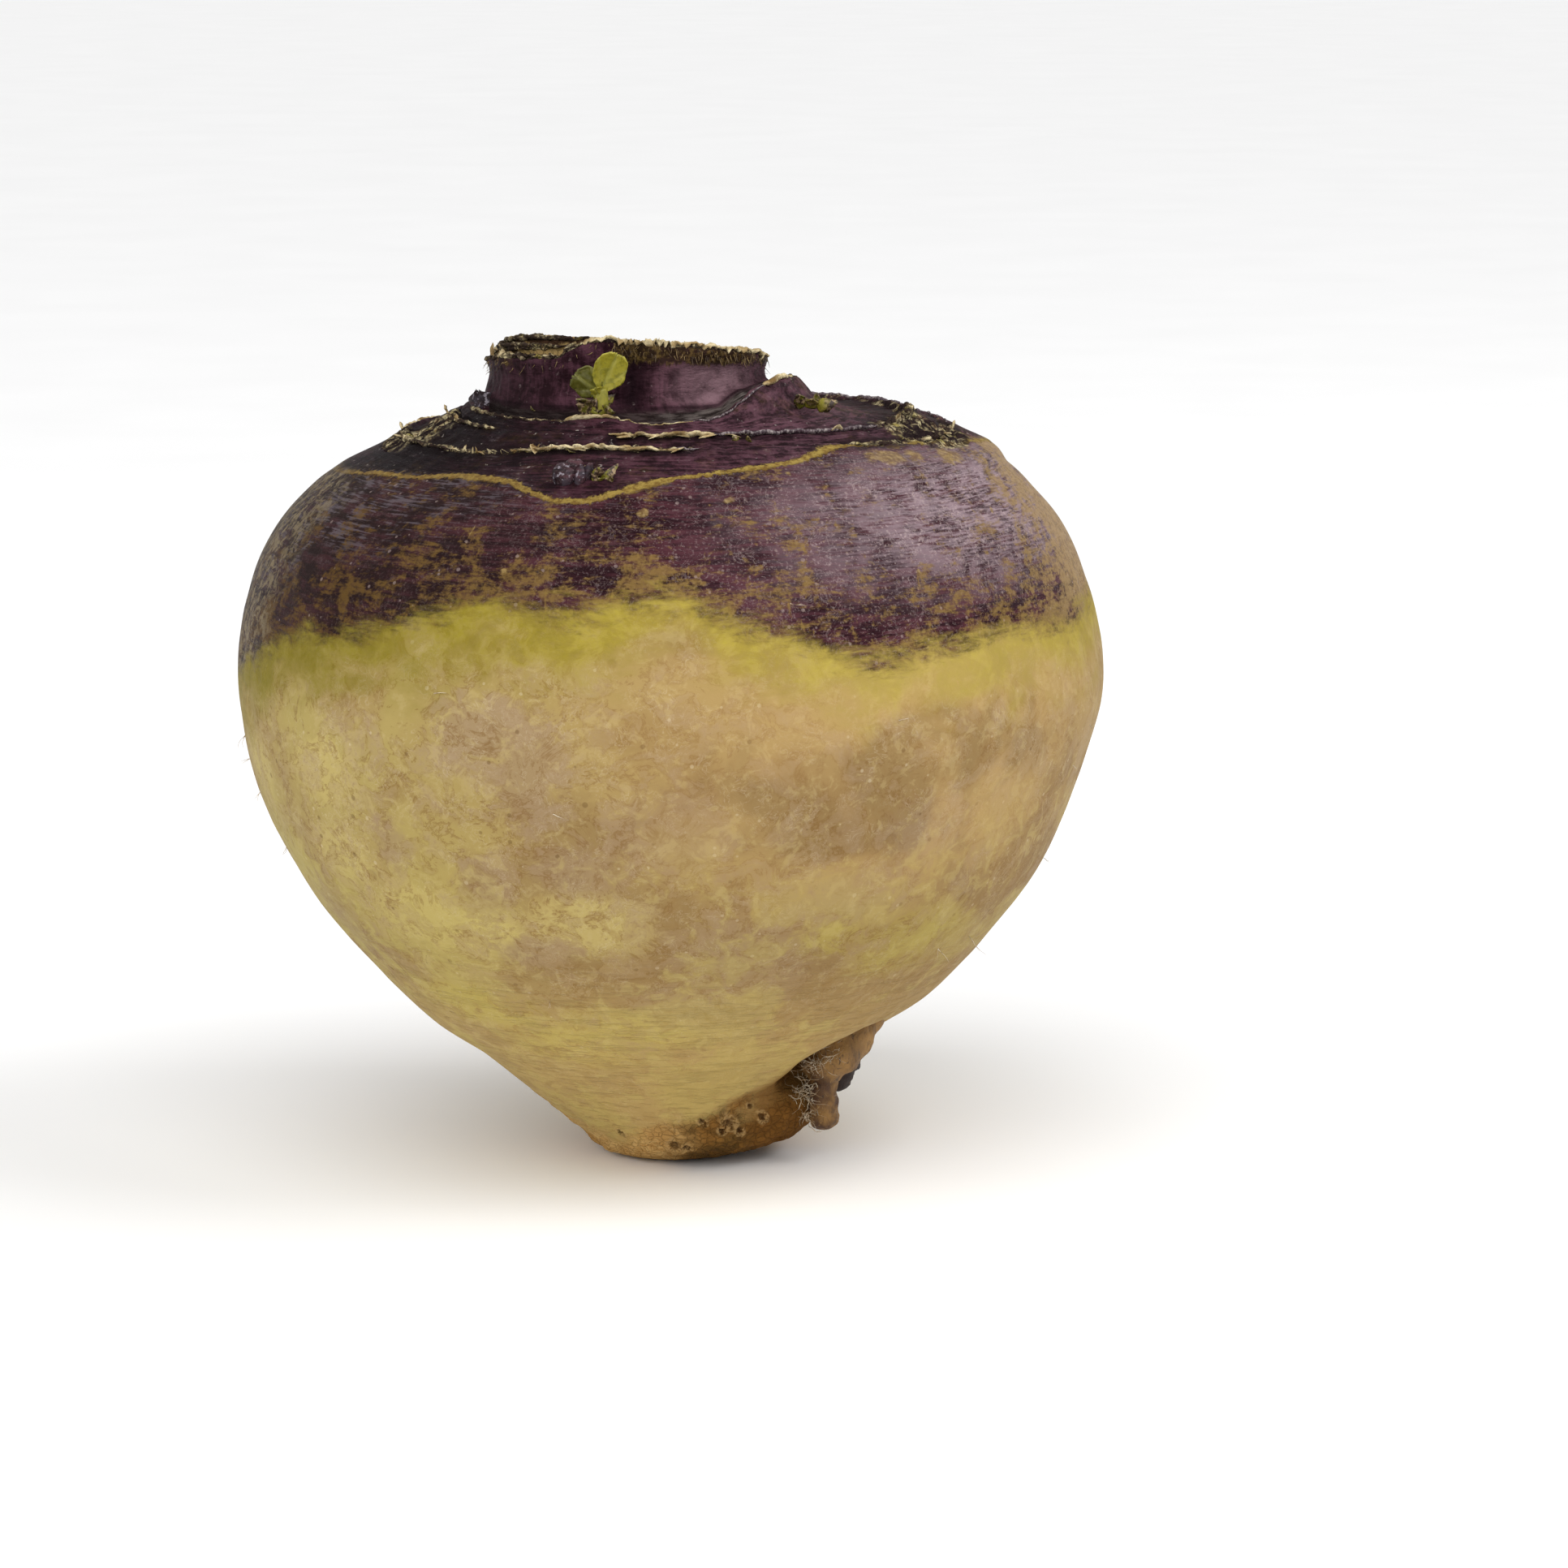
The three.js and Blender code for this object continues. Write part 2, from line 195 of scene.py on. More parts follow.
def new_material(name):
    material = bpy.data.materials.new(name)
    material.use_nodes = True
    material.diffuse_color = (0.6, 0.5, 0.35, 1.0)
    return material, material.node_tree, material.node_tree.nodes["Principled BSDF"]


def wire(tree, socket, target):
    tree.links.new(socket, target)


def relief(tree, height, shader):
    """Bumps the surface by a height in millimetres."""
    inputs = {"Height": height, "Distance": MM, "Strength": 1.0}
    wire(tree, put(tree, "ShaderNodeBump", inputs).outputs["Normal"], shader.inputs["Normal"])


def tell(name, tree):
    print(name + ":", len(tree.nodes), "nodes")


print("a screen value of 128 in linear light:", round(screen_colour(128, 128, 128)[0], 3))

# %% [markdown]
# ## The table top
#
# The table is only a pale, faintly mottled sheet. It is a wide disc, so that it fills the view from every
# side, and it lies a hair under the flat spot that the root stands on.

# %% Table
FLOOR_RADIUS = 14.0

sheet = bmesh.new()
bmesh.ops.create_circle(sheet, cap_ends=True, radius=FLOOR_RADIUS, segments=96)
bmesh.ops.translate(sheet, verts=sheet.verts, vec=(0, 0, -0.02 * MM))
floor = bpy.data.objects.new("table_top", bpy.data.meshes.new("table_top"))
sheet.to_mesh(floor.data)
sheet.free()
bpy.context.scene.collection.objects.link(floor)
floor_finish, tree, shader = new_material("table_top")
grain = cloud(tree, millimetres(tree), (60, 60, 60), detail=2)
wire(tree, mixed(tree, grain, screen_colour(247, 247, 247), screen_colour(252, 252, 252)),
     shader.inputs["Base Color"])
wire(tree, added(tree, 0.6, grain, 0.1), shader.inputs["Roughness"])
shader.inputs["Specular IOR Level"].default_value = 0.1
floor.data.materials.append(floor_finish)
tell("table top", tree)

# %% [markdown]
# ## The form of the root
#
# The body is a stack of round rings joined by a smooth curve, like a shape thrown on a wheel and then made
# uneven: it is lumpy, a little flat at the front and leans back. The crown is a low dome with two terraces,
# a collar and the neck. These are the same sizes that the plain solid was built from, so the fine skin made
# here lies where that solid's surface is. An azimuth is an angle round the root in degrees: 0 is to the
# right, -90 the front, 90 the back and 180 the left.

# %% Sizes of the body
BODY_RINGS = [
    # radius, height, and how far the ring's centre lies to the right
    (8.8, 0.0, 0.0), (12.0, 1.0, 0.8), (16.4, 3.4, 2.9), (20.1, 7.5, 1.9), (23.4, 12.0, -0.4),
    (28.8, 16.6, -0.6), (36.5, 22.0, -0.3), (45.4, 31.0, -0.4), (54.4, 43.0, -0.4), (59.8, 56.0, -0.8),
    (62.5, 69.0, -0.1), (61.0, 81.5, -0.5), (57.2, 91.0, -0.4), (51.6, 98.0, 0.1), (45.0, 103.0, 1.2),
]
LEAN_BACK = 3.0
LEAN_FROM = 60
FRONT_FLATTENING = 0.022
LUMPS = [(1.1, 2, 0), (0.8, 3, 0), (0.35, 5, 40)]  # amplitude, waves round the root, turn in degrees
HOLLOWS = [
    # azimuth, half width, height, climb for each degree, half height, depth
    (-44, 56, 11.6, 0.12, 4.6, 1.4),  # the fold between the belly and the taproot
    (-26, 27, 16.6, 0.02, 7.5, 7.0),  # the pocket that the side roots grow out of
]
print(len(BODY_RINGS), "rings, the widest", 2 * max(ring[0] for ring in BODY_RINGS), "mm across")

# %% Sizes of the crown
DOME_X, DOME_Y, DOME_TOP, DOME_FALL, DOME_EDGE = 2.2, 2.0, 109.6, 1.61e-6, 45
NECK_X, NECK_Y = -6.3, LEAN_BACK
NECK_FOOT, NECK_WAIST, NECK_RIM, NECK_BARK = 20.6, 19.9, 20.2, 1.3
FOOT_HEIGHT, FOOT_ABOVE_GROOVE, WAIST_HEIGHT, CUT_HEIGHT = 1.2, 0.4, 4.4, 7.8
CUT_TO_BACK, CUT_TO_RIGHT = math.tan(math.radians(8.5)), math.tan(math.radians(3.4))
CLEFTS = [(-86, 1.6), (38, 1.2), (152, 1.3)]  # azimuth and depth of the folds in the neck
CLEFT_WIDTH = 9
LOW_STALK = {"azimuth": -153, "half_width": 66, "drop": 2.9, "inner": 17.0}
OUTER_TERRACE = {
    "radius": [(-180, 41), (-137, 40.5), (-108, 37), (-70, 37.2), (-20, 38), (40, 38.5), (100, 39.5),
               (140, 41)],
    "step": [(-180, 0.9), (-137, 0.9), (-108, 1.4), (-75, 1.2), (-45, 0.4), (0, 0.3), (50, 0.9),
             (100, 1.1)],
    "lift": [(-180, 0.5), (-137, 0.4), (-108, 0.6), (-75, 0.5), (-45, 0.2), (0, 0.1), (50, 0.5),
             (100, 0.5)],
}
MIDDLE_TERRACE = {
    "radius": [(-180, 34), (-137, 34), (-108, 32.4), (-80, 32.2), (-45, 33), (0, 32.2), (45, 32.5),
               (90, 32)],
    "step": [(-180, 1.0), (-137, 1.1), (-108, 1.1), (-80, 1.3), (-45, 1.2), (0, 1.2), (45, 0.6),
             (90, 1.1)],
    "lift": [(-180, 0.8), (-137, 0.6), (-108, 0.5), (-80, 0.8), (-45, 0.5), (0, 0.9), (45, 0.3),
             (90, 0.7)],
}
LIP_APRON, LIP_WIDTH, LIP_RISER = 2.4, 0.8, 0.8
COLLAR_X, COLLAR_Y, COLLAR_RADIUS, COLLAR_APRON = -4.5, 2.0, 23.9, 1.6
COLLAR_FOOT, COLLAR_CLIMB, COLLAR_LEVEL, COLLAR_LEAN = -0.9, 0.3, 0.3, 0.3
GROOVE_DEPTH, COLLAR_WALL, CLEAR_OF_NECK = 1.1, 1.4, 0.35
COLLAR_LIP = [
    (-180, 0.2), (-166, -0.4), (-120, -0.5), (-101, 0.5), (-84, -0.7), (-66, -0.3), (-36, 3.9),
    (-22, 4.6), (-8, 4.4), (4, 2.0), (14, 0.5), (40, 0.1), (75, 1.2), (108, 0.2), (136, 0.8), (156, 0.3),
]
print("middle of the cut:", round(DOME_TOP + CUT_HEIGHT, 1), "mm up")

# %% Small helpers for shapes
def smooth(low, high, value):
    share = min(1.0, max(0.0, (value - low) / (high - low)))
    return share * share * (3 - 2 * share)


def around(table, azimuth):
    """The value at an azimuth of a table of (azimuth, value) pairs that runs once round."""
    start = table[0][0]
    turned = (azimuth - start) % 360 + start
    pairs = table + [(start + 360, table[0][1])]
    for low, high in zip(pairs, pairs[1:]):
        if turned < high[0]:
            return low[1] + (high[1] - low[1]) * smooth(low[0], high[0], turned)
    return table[0][1]


def apart(azimuth, other):
    """How many degrees lie between two azimuths."""
    return abs((azimuth - other + 180) % 360 - 180)


def windowed(azimuth, middle, half_width):
    off = apart(azimuth, middle)
    return 0.5 + 0.5 * math.cos(math.pi * off / half_width) if off < half_width else 0.0


def polar(x, y, radius, azimuth, height):
    turn = math.radians(azimuth)
    return Vector((x + radius * math.cos(turn), y + radius * math.sin(turn), height))


def curve_span(points, index):
    """The four sums that give a centripetal curve through points between index and index + 1."""
    here, there = points[index], points[index + 1]
    before = points[index - 1] if index > 0 else here * 2 - there
    after = points[index + 2] if index + 2 < len(points) else there * 2 - here
    gap = max(math.sqrt((there - here).length), 1e-6)
    gap_before = max(math.sqrt((here - before).length), 1e-6)
    gap_after = max(math.sqrt((after - there).length), 1e-6)
    pace = (there - here) / gap
    leave = ((here - before) / gap_before - (there - before) / (gap_before + gap) + pace) * gap
    arrive = (pace - (after - here) / (gap + gap_after) + (after - there) / gap_after) * gap
    return here, leave, here * -3 + there * 3 - leave * 2 - arrive, here * 2 - there * 2 + leave + arrive


def on_span(span, share):
    return span[0] + span[1] * share + span[2] * share ** 2 + span[3] * share ** 3


print("from 170 to -170 degrees there are", apart(170, -170))

# %% The body's surface
ring_points = [Vector((radius, height, centre)) for radius, height, centre in BODY_RINGS]


def body_ring(share):
    """Radius, height and centre of the ring at a share of the way up the body."""
    place = share * (len(ring_points) - 1)
    index = min(int(place), len(ring_points) - 2)
    return on_span(curve_span(ring_points, index), place - index)


def lumps(azimuth, height):
    fade = smooth(4, 30, height) * (1 - smooth(88, 104, height))
    return fade * sum(size * math.sin(math.radians(count * azimuth + turn)) for size, count, turn in LUMPS)


def hollows(azimuth, height):
    total = 0.0
    for middle, half_width, level, climb, half_height, depth in HOLLOWS:
        near = max(0.0, 1 - abs(height - level - climb * (azimuth - middle)) / half_height)
        total += depth * windowed(azimuth, middle, half_width) * smooth(0, 1, near)
    return total


def body_point(ring, azimuth):
    radius, height, centre = ring
    front = math.sin(math.radians(azimuth)) ** 2 * smooth(10, 40, height)
    reach = radius * (1 - FRONT_FLATTENING * front) + lumps(azimuth, height) - hollows(azimuth, height)
    return polar(centre, DOME_Y * smooth(LEAN_FROM, DOME_TOP, height), reach, azimuth, height)


print("ring half way up:", [round(size, 1) for size in body_ring(0.5)])

# %% The crown's surface
def dome_point(radius, azimuth, raised=0.0):
    return polar(DOME_X, DOME_Y, radius, azimuth, DOME_TOP - DOME_FALL * radius ** 4 + raised)


def neck_point(radius, azimuth, height):
    cleft = sum(depth * windowed(azimuth, middle, CLEFT_WIDTH) for middle, depth in CLEFTS)
    return polar(NECK_X, NECK_Y, radius - cleft * (radius / NECK_RIM) ** 2, azimuth, height)


def cut_point(radius, azimuth):
    point = neck_point(radius, azimuth, 0)
    point.z = DOME_TOP + CUT_HEIGHT - CUT_TO_BACK * (point.y - NECK_Y) - CUT_TO_RIGHT * (point.x - NECK_X)
    stalk = windowed(azimuth, LOW_STALK["azimuth"], LOW_STALK["half_width"])
    outer = smooth(LOW_STALK["inner"], NECK_RIM - NECK_BARK, radius)
    point.z -= LOW_STALK["drop"] * outer * smooth(0.1, 0.5, stalk)
    return point


def terrace(sizes, azimuth):
    lip, lift = around(sizes["radius"], azimuth), around(sizes["lift"], azimuth)
    return [
        dome_point(lip + LIP_APRON, azimuth),
        dome_point(lip, azimuth, lift),
        dome_point(lip - LIP_WIDTH, azimuth, lift),
        dome_point(lip - LIP_WIDTH - LIP_RISER, azimuth, lift - around(sizes["step"], azimuth)),
    ]


def groove(azimuth):
    """How far the groove between the neck and the collar lies above the dome's top."""
    lip = around(COLLAR_LIP, azimuth)
    return max(min(lip, FOOT_HEIGHT) - GROOVE_DEPTH, lip - COLLAR_WALL)


def neck_foot(azimuth):
    height = max(FOOT_HEIGHT, groove(azimuth) + FOOT_ABOVE_GROOVE)
    return neck_point(NECK_FOOT, azimuth, DOME_TOP + height)


def collar(azimuth):
    lip = around(COLLAR_LIP, azimuth)
    lean = COLLAR_LEAN * max(0.0, lip - COLLAR_LEVEL)
    radius = COLLAR_RADIUS - lean
    section = [
        (COLLAR_RADIUS + COLLAR_APRON + lean, COLLAR_FOOT + COLLAR_CLIMB * lip),
        (radius, lip),
        (radius - LIP_WIDTH, lip),
        (max(radius - LIP_WIDTH - LIP_RISER, NECK_FOOT + CLEAR_OF_NECK), groove(azimuth)),
    ]
    return [polar(COLLAR_X, COLLAR_Y, reach, azimuth, DOME_TOP + height) for reach, height in section]


def crown_keys(azimuth):
    """Points from the top of the body, over the terraces and up the neck, to the middle of its cut."""
    return [
        dome_point(DOME_EDGE, azimuth),
        *terrace(OUTER_TERRACE, azimuth),
        *terrace(MIDDLE_TERRACE, azimuth)[1:],
        *collar(azimuth),
        neck_foot(azimuth),
        neck_point(NECK_WAIST, azimuth, DOME_TOP + WAIST_HEIGHT),
        cut_point(NECK_RIM, azimuth),
        cut_point(NECK_RIM - NECK_BARK, azimuth),
        cut_point(LOW_STALK["inner"], azimuth),
        cut_point(LOW_STALK["inner"] * 0.5, azimuth),
        Vector((NECK_X, NECK_Y, DOME_TOP + CUT_HEIGHT)),
    ]


print("rim at the front:", round(cut_point(NECK_RIM, -90).z, 1), "mm up")

# %% [markdown]
# ## One fine skin
#
# A flat grid is wrapped round the root like a sheet of paper: its columns become lines from the flat spot
# up to the neck, and its rows become rings. The rings are close together on the terraces, where the form
# is small, and the columns are closer at the front. The seam and both ends are then merged, so the skin is
# closed. A spun profile would be simpler, but it gives every side the same outline.

# %% Wrap the grid
COLUMNS = 310
FRONT_CROWDING = 0.36
BASE_ROWS = 8
BODY_SPANS = 2 * (len(BODY_RINGS) - 1) - 1  # the body up to the ring under the dome's edge
BODY_ROWS = 6 * BODY_SPANS
JOIN_ROWS = 6  # from the body to the dome's edge
CROWN_ROWS = [8, 6, 3, 4, 10, 3, 4, 10, 9, 3, 6, 4, 9, 10, 4, 5, 10, 5]
ROWS = BASE_ROWS + BODY_ROWS + JOIN_ROWS + sum(CROWN_ROWS)

body_rings = [body_ring(row / BODY_ROWS * BODY_SPANS / (BODY_SPANS + 1)) for row in range(BODY_ROWS + 1)]


def column_azimuth(column):
    turn = 2 * math.pi * (column / COLUMNS - 0.5)
    return math.degrees(turn - FRONT_CROWDING * math.sin(turn)) - 90


def column_points(azimuth):
    """All the points of one column, from the middle of the flat spot to the middle of the cut."""
    body = [body_point(ring, azimuth) for ring in body_rings]
    middle = Vector((BODY_RINGS[0][2], 0, 0))
    points = [middle.lerp(body[0], row / BASE_ROWS) for row in range(BASE_ROWS)] + body
    keys = [body[-7], body[-1], *crown_keys(azimuth)]
    for index, count in enumerate([JOIN_ROWS, *CROWN_ROWS], start=1):
        span = curve_span(keys, index)
        points += [on_span(span, step / count) for step in range(1, count + 1)]
    return points


skin = bmesh.new()
bmesh.ops.create_grid(skin, x_segments=COLUMNS, y_segments=ROWS, size=1)
turn_layer = skin.verts.layers.float.new("turn")
row_layer = skin.verts.layers.float.new("row")
columns = [column_points(column_azimuth(column)) for column in range(COLUMNS)]
for vert in skin.verts:
    column = round((vert.co.x + 1) / 2 * COLUMNS) % COLUMNS
    row = round((vert.co.y + 1) / 2 * ROWS)
    vert[turn_layer] = column_azimuth(column)
    vert[row_layer] = row
    vert.co = columns[column][row] * MM
bmesh.ops.remove_doubles(skin, verts=skin.verts, dist=1e-4 * MM)
bmesh.ops.recalc_face_normals(skin, faces=skin.faces)
print("skin:", len(skin.verts), "points,", len(skin.faces), "faces")

# %% [markdown]
# ## Where things are on the skin
#
# The colours of a root follow its growth: the purple ends at the old soil line, a golden line marks where
# the lowest leaves fell off, and cork forms on every lip. These places are drawn here as curves round the
# root or as single marks, at real sizes. Painting a picture on the root would tie it to one view, while
# curves and distances can be used by the relief and by the colours alike.

# %% Curves and marks
PURPLE_EDGE = [
    # azimuth and height of the ragged lower edge of the purple
    (-180, 72.5), (-167, 73.8), (-155, 77.7), (-147, 81.2), (-136, 82.0), (-124, 85.5), (-113, 88.0),
    (-105, 87.3), (-100, 86.7), (-94, 88.5), (-87, 89.5), (-81, 86.2), (-73, 84.2), (-66, 81.6),
    (-62, 80.0), (-56, 79.8), (-51, 81.2), (-42, 80.9), (-30, 81.3), (-17, 80.4), (-5, 81.8), (14, 83.0),
    (32, 78.5), (48, 76.0), (70, 82.0), (92, 84.0), (112, 78.0), (128, 75.0), (150, 79.0), (168, 75.0),
]
SCAR_LINE = [
    # azimuth round the dome's middle, and the leaf scar's distance from it
    (-180, 50.5), (-172, 50.0), (-164, 49.2), (-153, 47.6), (-145, 47.0), (-134, 45.4), (-127, 45.2),
    (-121, 45.5), (-117, 46.7), (-113, 47.7), (-109, 48.1), (-104, 47.6), (-100, 46.2), (-95.7, 45.0),
    (-90, 43.6), (-84, 42.8), (-78, 41.9), (-71.6, 41.0), (-67, 40.4), (-62, 39.1), (-56, 37.8),
    (-50, 37.2), (-40, 37.8), (-31, 38.6), (-22, 40.2), (-10, 41.6), (10, 44.5), (35, 46.0), (60, 44.0),
    (95, 45.5), (120, 48.0), (150, 49.5),
]
SCAR_INK = [
    # azimuth and how strongly the line shows
    (-180, 0.2), (-163, 0.35), (-156, 0.85), (-133, 0.95), (-117, 0.9), (-112, 1.0), (-98, 1.0),
    (-72, 0.8), (-58, 0.85), (-47, 0.9), (-42, 0.15), (-36, 0.2), (-31, 0.8), (-24, 0.7), (-10, 0.6),
    (20, 0.5), (60, 0.15), (90, 0.6), (130, 0.4), (160, 0.1),
]
CORK_ON_OUTER_LIP = [
    (-180, 0.2), (-150, 0.5), (-138, 0.9), (-125, 0.55), (-118, 1.0), (-92, 0.9), (-84, 0.35), (-60, 0.15),
    (-48, 0.6), (-30, 0.9), (-8, 0.7), (20, 0.4), (60, 0.5), (110, 0.8), (150, 0.4),
]
CORK_ON_MIDDLE_LIP = [
    (-180, 0.2), (-140, 0.0), (-112, 0.05), (-104, 0.8), (-74, 0.9), (-66, 0.3), (-40, 0.25), (-20, 0.8),
    (10, 0.9), (40, 0.5), (90, 0.6), (140, 0.7),
]
CORK_ON_COLLAR = [
    (-180, 0.8), (-140, 0.45), (-118, 0.4), (-108, 0.95), (-96, 0.9), (-80, 0.3), (-40, 0.35), (-25, 1.0),
    (-12, 1.0), (0, 0.5), (60, 0.5), (120, 0.6),
]
TORN_RIM = [
    # azimuth, and how torn and dark the skin is just under the cut
    (-180, 0.4), (-150, 0.5), (-125, 0.2), (-100, 0.2), (-84, 0.9), (-40, 1.0), (-22, 0.6), (20, 0.7),
    (90, 0.8), (150, 0.6),
]
PATCHES = [
    # tint, azimuth, height, half width, half height: the larger clouds on the buff skin
    ("cream", -140, 63, 7.5, 5.5), ("cream", -139, 51, 8, 5), ("cream", -127, 43, 11, 6),
    ("cream", -101, 44, 9, 6), ("cream", -117, 42, 8, 5), ("cream", -160, 60, 7, 6),
    ("pink", -107, 67, 6, 9), ("pink", -113, 72, 8, 5), ("pink", -128, 54, 3.5, 4),
    ("pink", -115, 48, 4.5, 5), ("pink", -100, 52, 8, 4.5), ("pink", -76, 37, 11, 9),
    ("pink", -62, 47, 12, 5), ("pink", -150, 40, 6, 8), ("pink", -110, 39, 7, 2.5), ("pink", -88, 58, 9, 7),
    ("pink", -50, 55, 9, 6), ("pink", -84, 30, 12, 5),
    ("brown", -126, 62, 4, 3.5), ("brown", -91, 71, 7.5, 5.5), ("brown", -79, 75, 4.5, 2.6),
    ("brown", -86, 61, 6, 9), ("brown", -66, 62, 5, 5), ("brown", -60, 52, 7, 4), ("brown", -19, 56, 3.5, 8),
    ("brown", -146, 31, 3, 1.8), ("brown", -97, 36, 9, 3), ("brown", -74, 67, 6, 4),
    ("yellow", -127, 29, 12, 4), ("yellow", -108, 23, 11, 5), ("yellow", -63, 42, 3, 5),
    ("yellow", -63, 40, 7, 3), ("yellow", -92, 27, 8, 4), ("yellow", -45, 38, 12, 6),
    ("yellow", 40, 50, 14, 12), ("cream", 75, 40, 14, 9), ("pink", 100, 60, 16, 9), ("brown", 130, 52, 8, 9),
    ("yellow", 160, 42, 12, 8), ("pink", 15, 42, 12, 8), ("brown", 60, 70, 9, 5), ("cream", 120, 34, 10, 6),
]
SPOTS = [
    # azimuth, height, half width, half height: pale corky spots and short dashes on the purple
    (-93.7, 99.6, 0.8, 0.5), (-90.9, 93.0, 0.4, 0.3), (-50.5, 90.9, 0.5, 0.7), (-46.1, 92.6, 0.30, 2.2),
    (-120.0, 96.2, 0.30, 1.6), (-80.0, 101.2, 0.9, 0.4), (-60.0, 97.0, 0.6, 0.4), (-41.0, 86.0, 0.3, 2.0),
    (-36.0, 88.5, 0.3, 2.4), (-31.0, 85.5, 0.3, 1.8), (-46.5, 105.0, 3.4, 0.9), (-38.5, 104.8, 1.7, 0.7),
    (-29.5, 104.2, 3.8, 1.0), (-112.0, 92.0, 0.6, 0.4), (-130.0, 94.0, 0.7, 0.4),
    (-70.0, 104.0, 0.7, 0.3), (-28.0, 97.0, 0.5, 0.5), (30.0, 96.0, 0.7, 0.5), (75.0, 93.0, 0.5, 1.8),
    (-157, 101.6, 0.25, 0.6), (-154.0, 101.7, 0.22, 0.7), (-151, 101.8, 0.25, 0.6),
    (-147.6, 102.0, 0.22, 0.7), (118.0, 97.0, 0.9, 0.6), (150.0, 92.0, 0.4, 2.0), (170.0, 96.0, 0.7, 0.5),
]
RING_SCAR = (-85.5, 97.4, 1.5)  # azimuth, height, radius
PITS = [
    # azimuth, height, radius: cork-rimmed pits where thin roots were pulled off
    (-81, 8.5, 0.9), (-70, 7.9, 1.5), (-66, 6.4, 0.9), (-74, 6.6, 0.8), (-54, 8.2, 1.1), (-58, 10.2, 0.7),
    (-97, 4.4, 1.3), (-92, 3.8, 1.0), (-47.6, 76, 0.55), (-120, 6.0, 0.7), (-10, 9.0, 1.0), (35, 6.5, 1.2),
    (80, 8.0, 1.0), (125, 5.5, 1.3), (165, 9.0, 0.8), (60, 66, 0.5), (140, 58, 0.6),
]
STUB_FOOT = Vector((20.5, -11.0, 10.5))  # where the side roots leave the taproot
print(len(PATCHES), "patches,", len(SPOTS), "spots and", len(PITS), "pits")

# %% Reading the curves
def drawn(table, azimuth):
    """Like around, but as one flowing line that doesn't level out at each point of the table."""
    start = table[0][0]
    turned = (azimuth - start) % 360 + start
    before = (table[-1][0] - 360, table[-1][1])
    pairs = [before, *table, (start + 360, table[0][1]), (table[1][0] + 360, table[1][1])]
    index = next(i for i in range(1, len(pairs) - 2) if turned < pairs[i + 1][0])
    (a0, v0), (a1, v1), (a2, v2), (a3, v3) = pairs[index - 1:index + 3]
    share = (turned - a1) / (a2 - a1)
    leave = (v2 - v0) / (a2 - a0) * (a2 - a1)
    arrive = (v3 - v1) / (a3 - a1) * (a2 - a1)
    square, cube = share ** 2, share ** 3
    return (v1 * (2 * cube - 3 * square + 1) + leave * (cube - 2 * square + share)
            + v2 * (3 * square - 2 * cube) + arrive * (cube - square))


LIP_ROWS = {}
row = BASE_ROWS + BODY_ROWS + JOIN_ROWS
for name, count in zip(
    ["dome edge", "outer apron", "outer lip", "outer ledge", "outer foot", "middle lip", "middle ledge",
     "middle foot", "collar foot", "collar lip", "collar ledge", "groove", "neck foot", "neck waist", "rim",
     "bark", "heart edge", "half"], CROWN_ROWS):
    LIP_ROWS[name] = row
    row += count

front_column = columns[COLUMNS // 2]
arc = [0.0]
for here, there in zip(front_column, front_column[1:]):
    arc.append(arc[-1] + (there - here).length)
print("from the flat spot to the middle of the cut:", round(arc[-1], 1), "mm of skin")


def near_rows(row, first, last, fade):
    """1 between two rows, falling to 0 over a few rows on either side."""
    return smooth(first - fade, first, row) * (1 - smooth(last, last + fade, row))


def blob(azimuth, height, radius, mark):
    """How far a place lies from a mark's middle: 0 in the middle and 1 at its edge."""
    middle, level, half_width, half_height = mark
    off = (azimuth - middle + 180) % 360 - 180
    return math.hypot(math.radians(off) * radius / half_width, (height - level) / half_height)


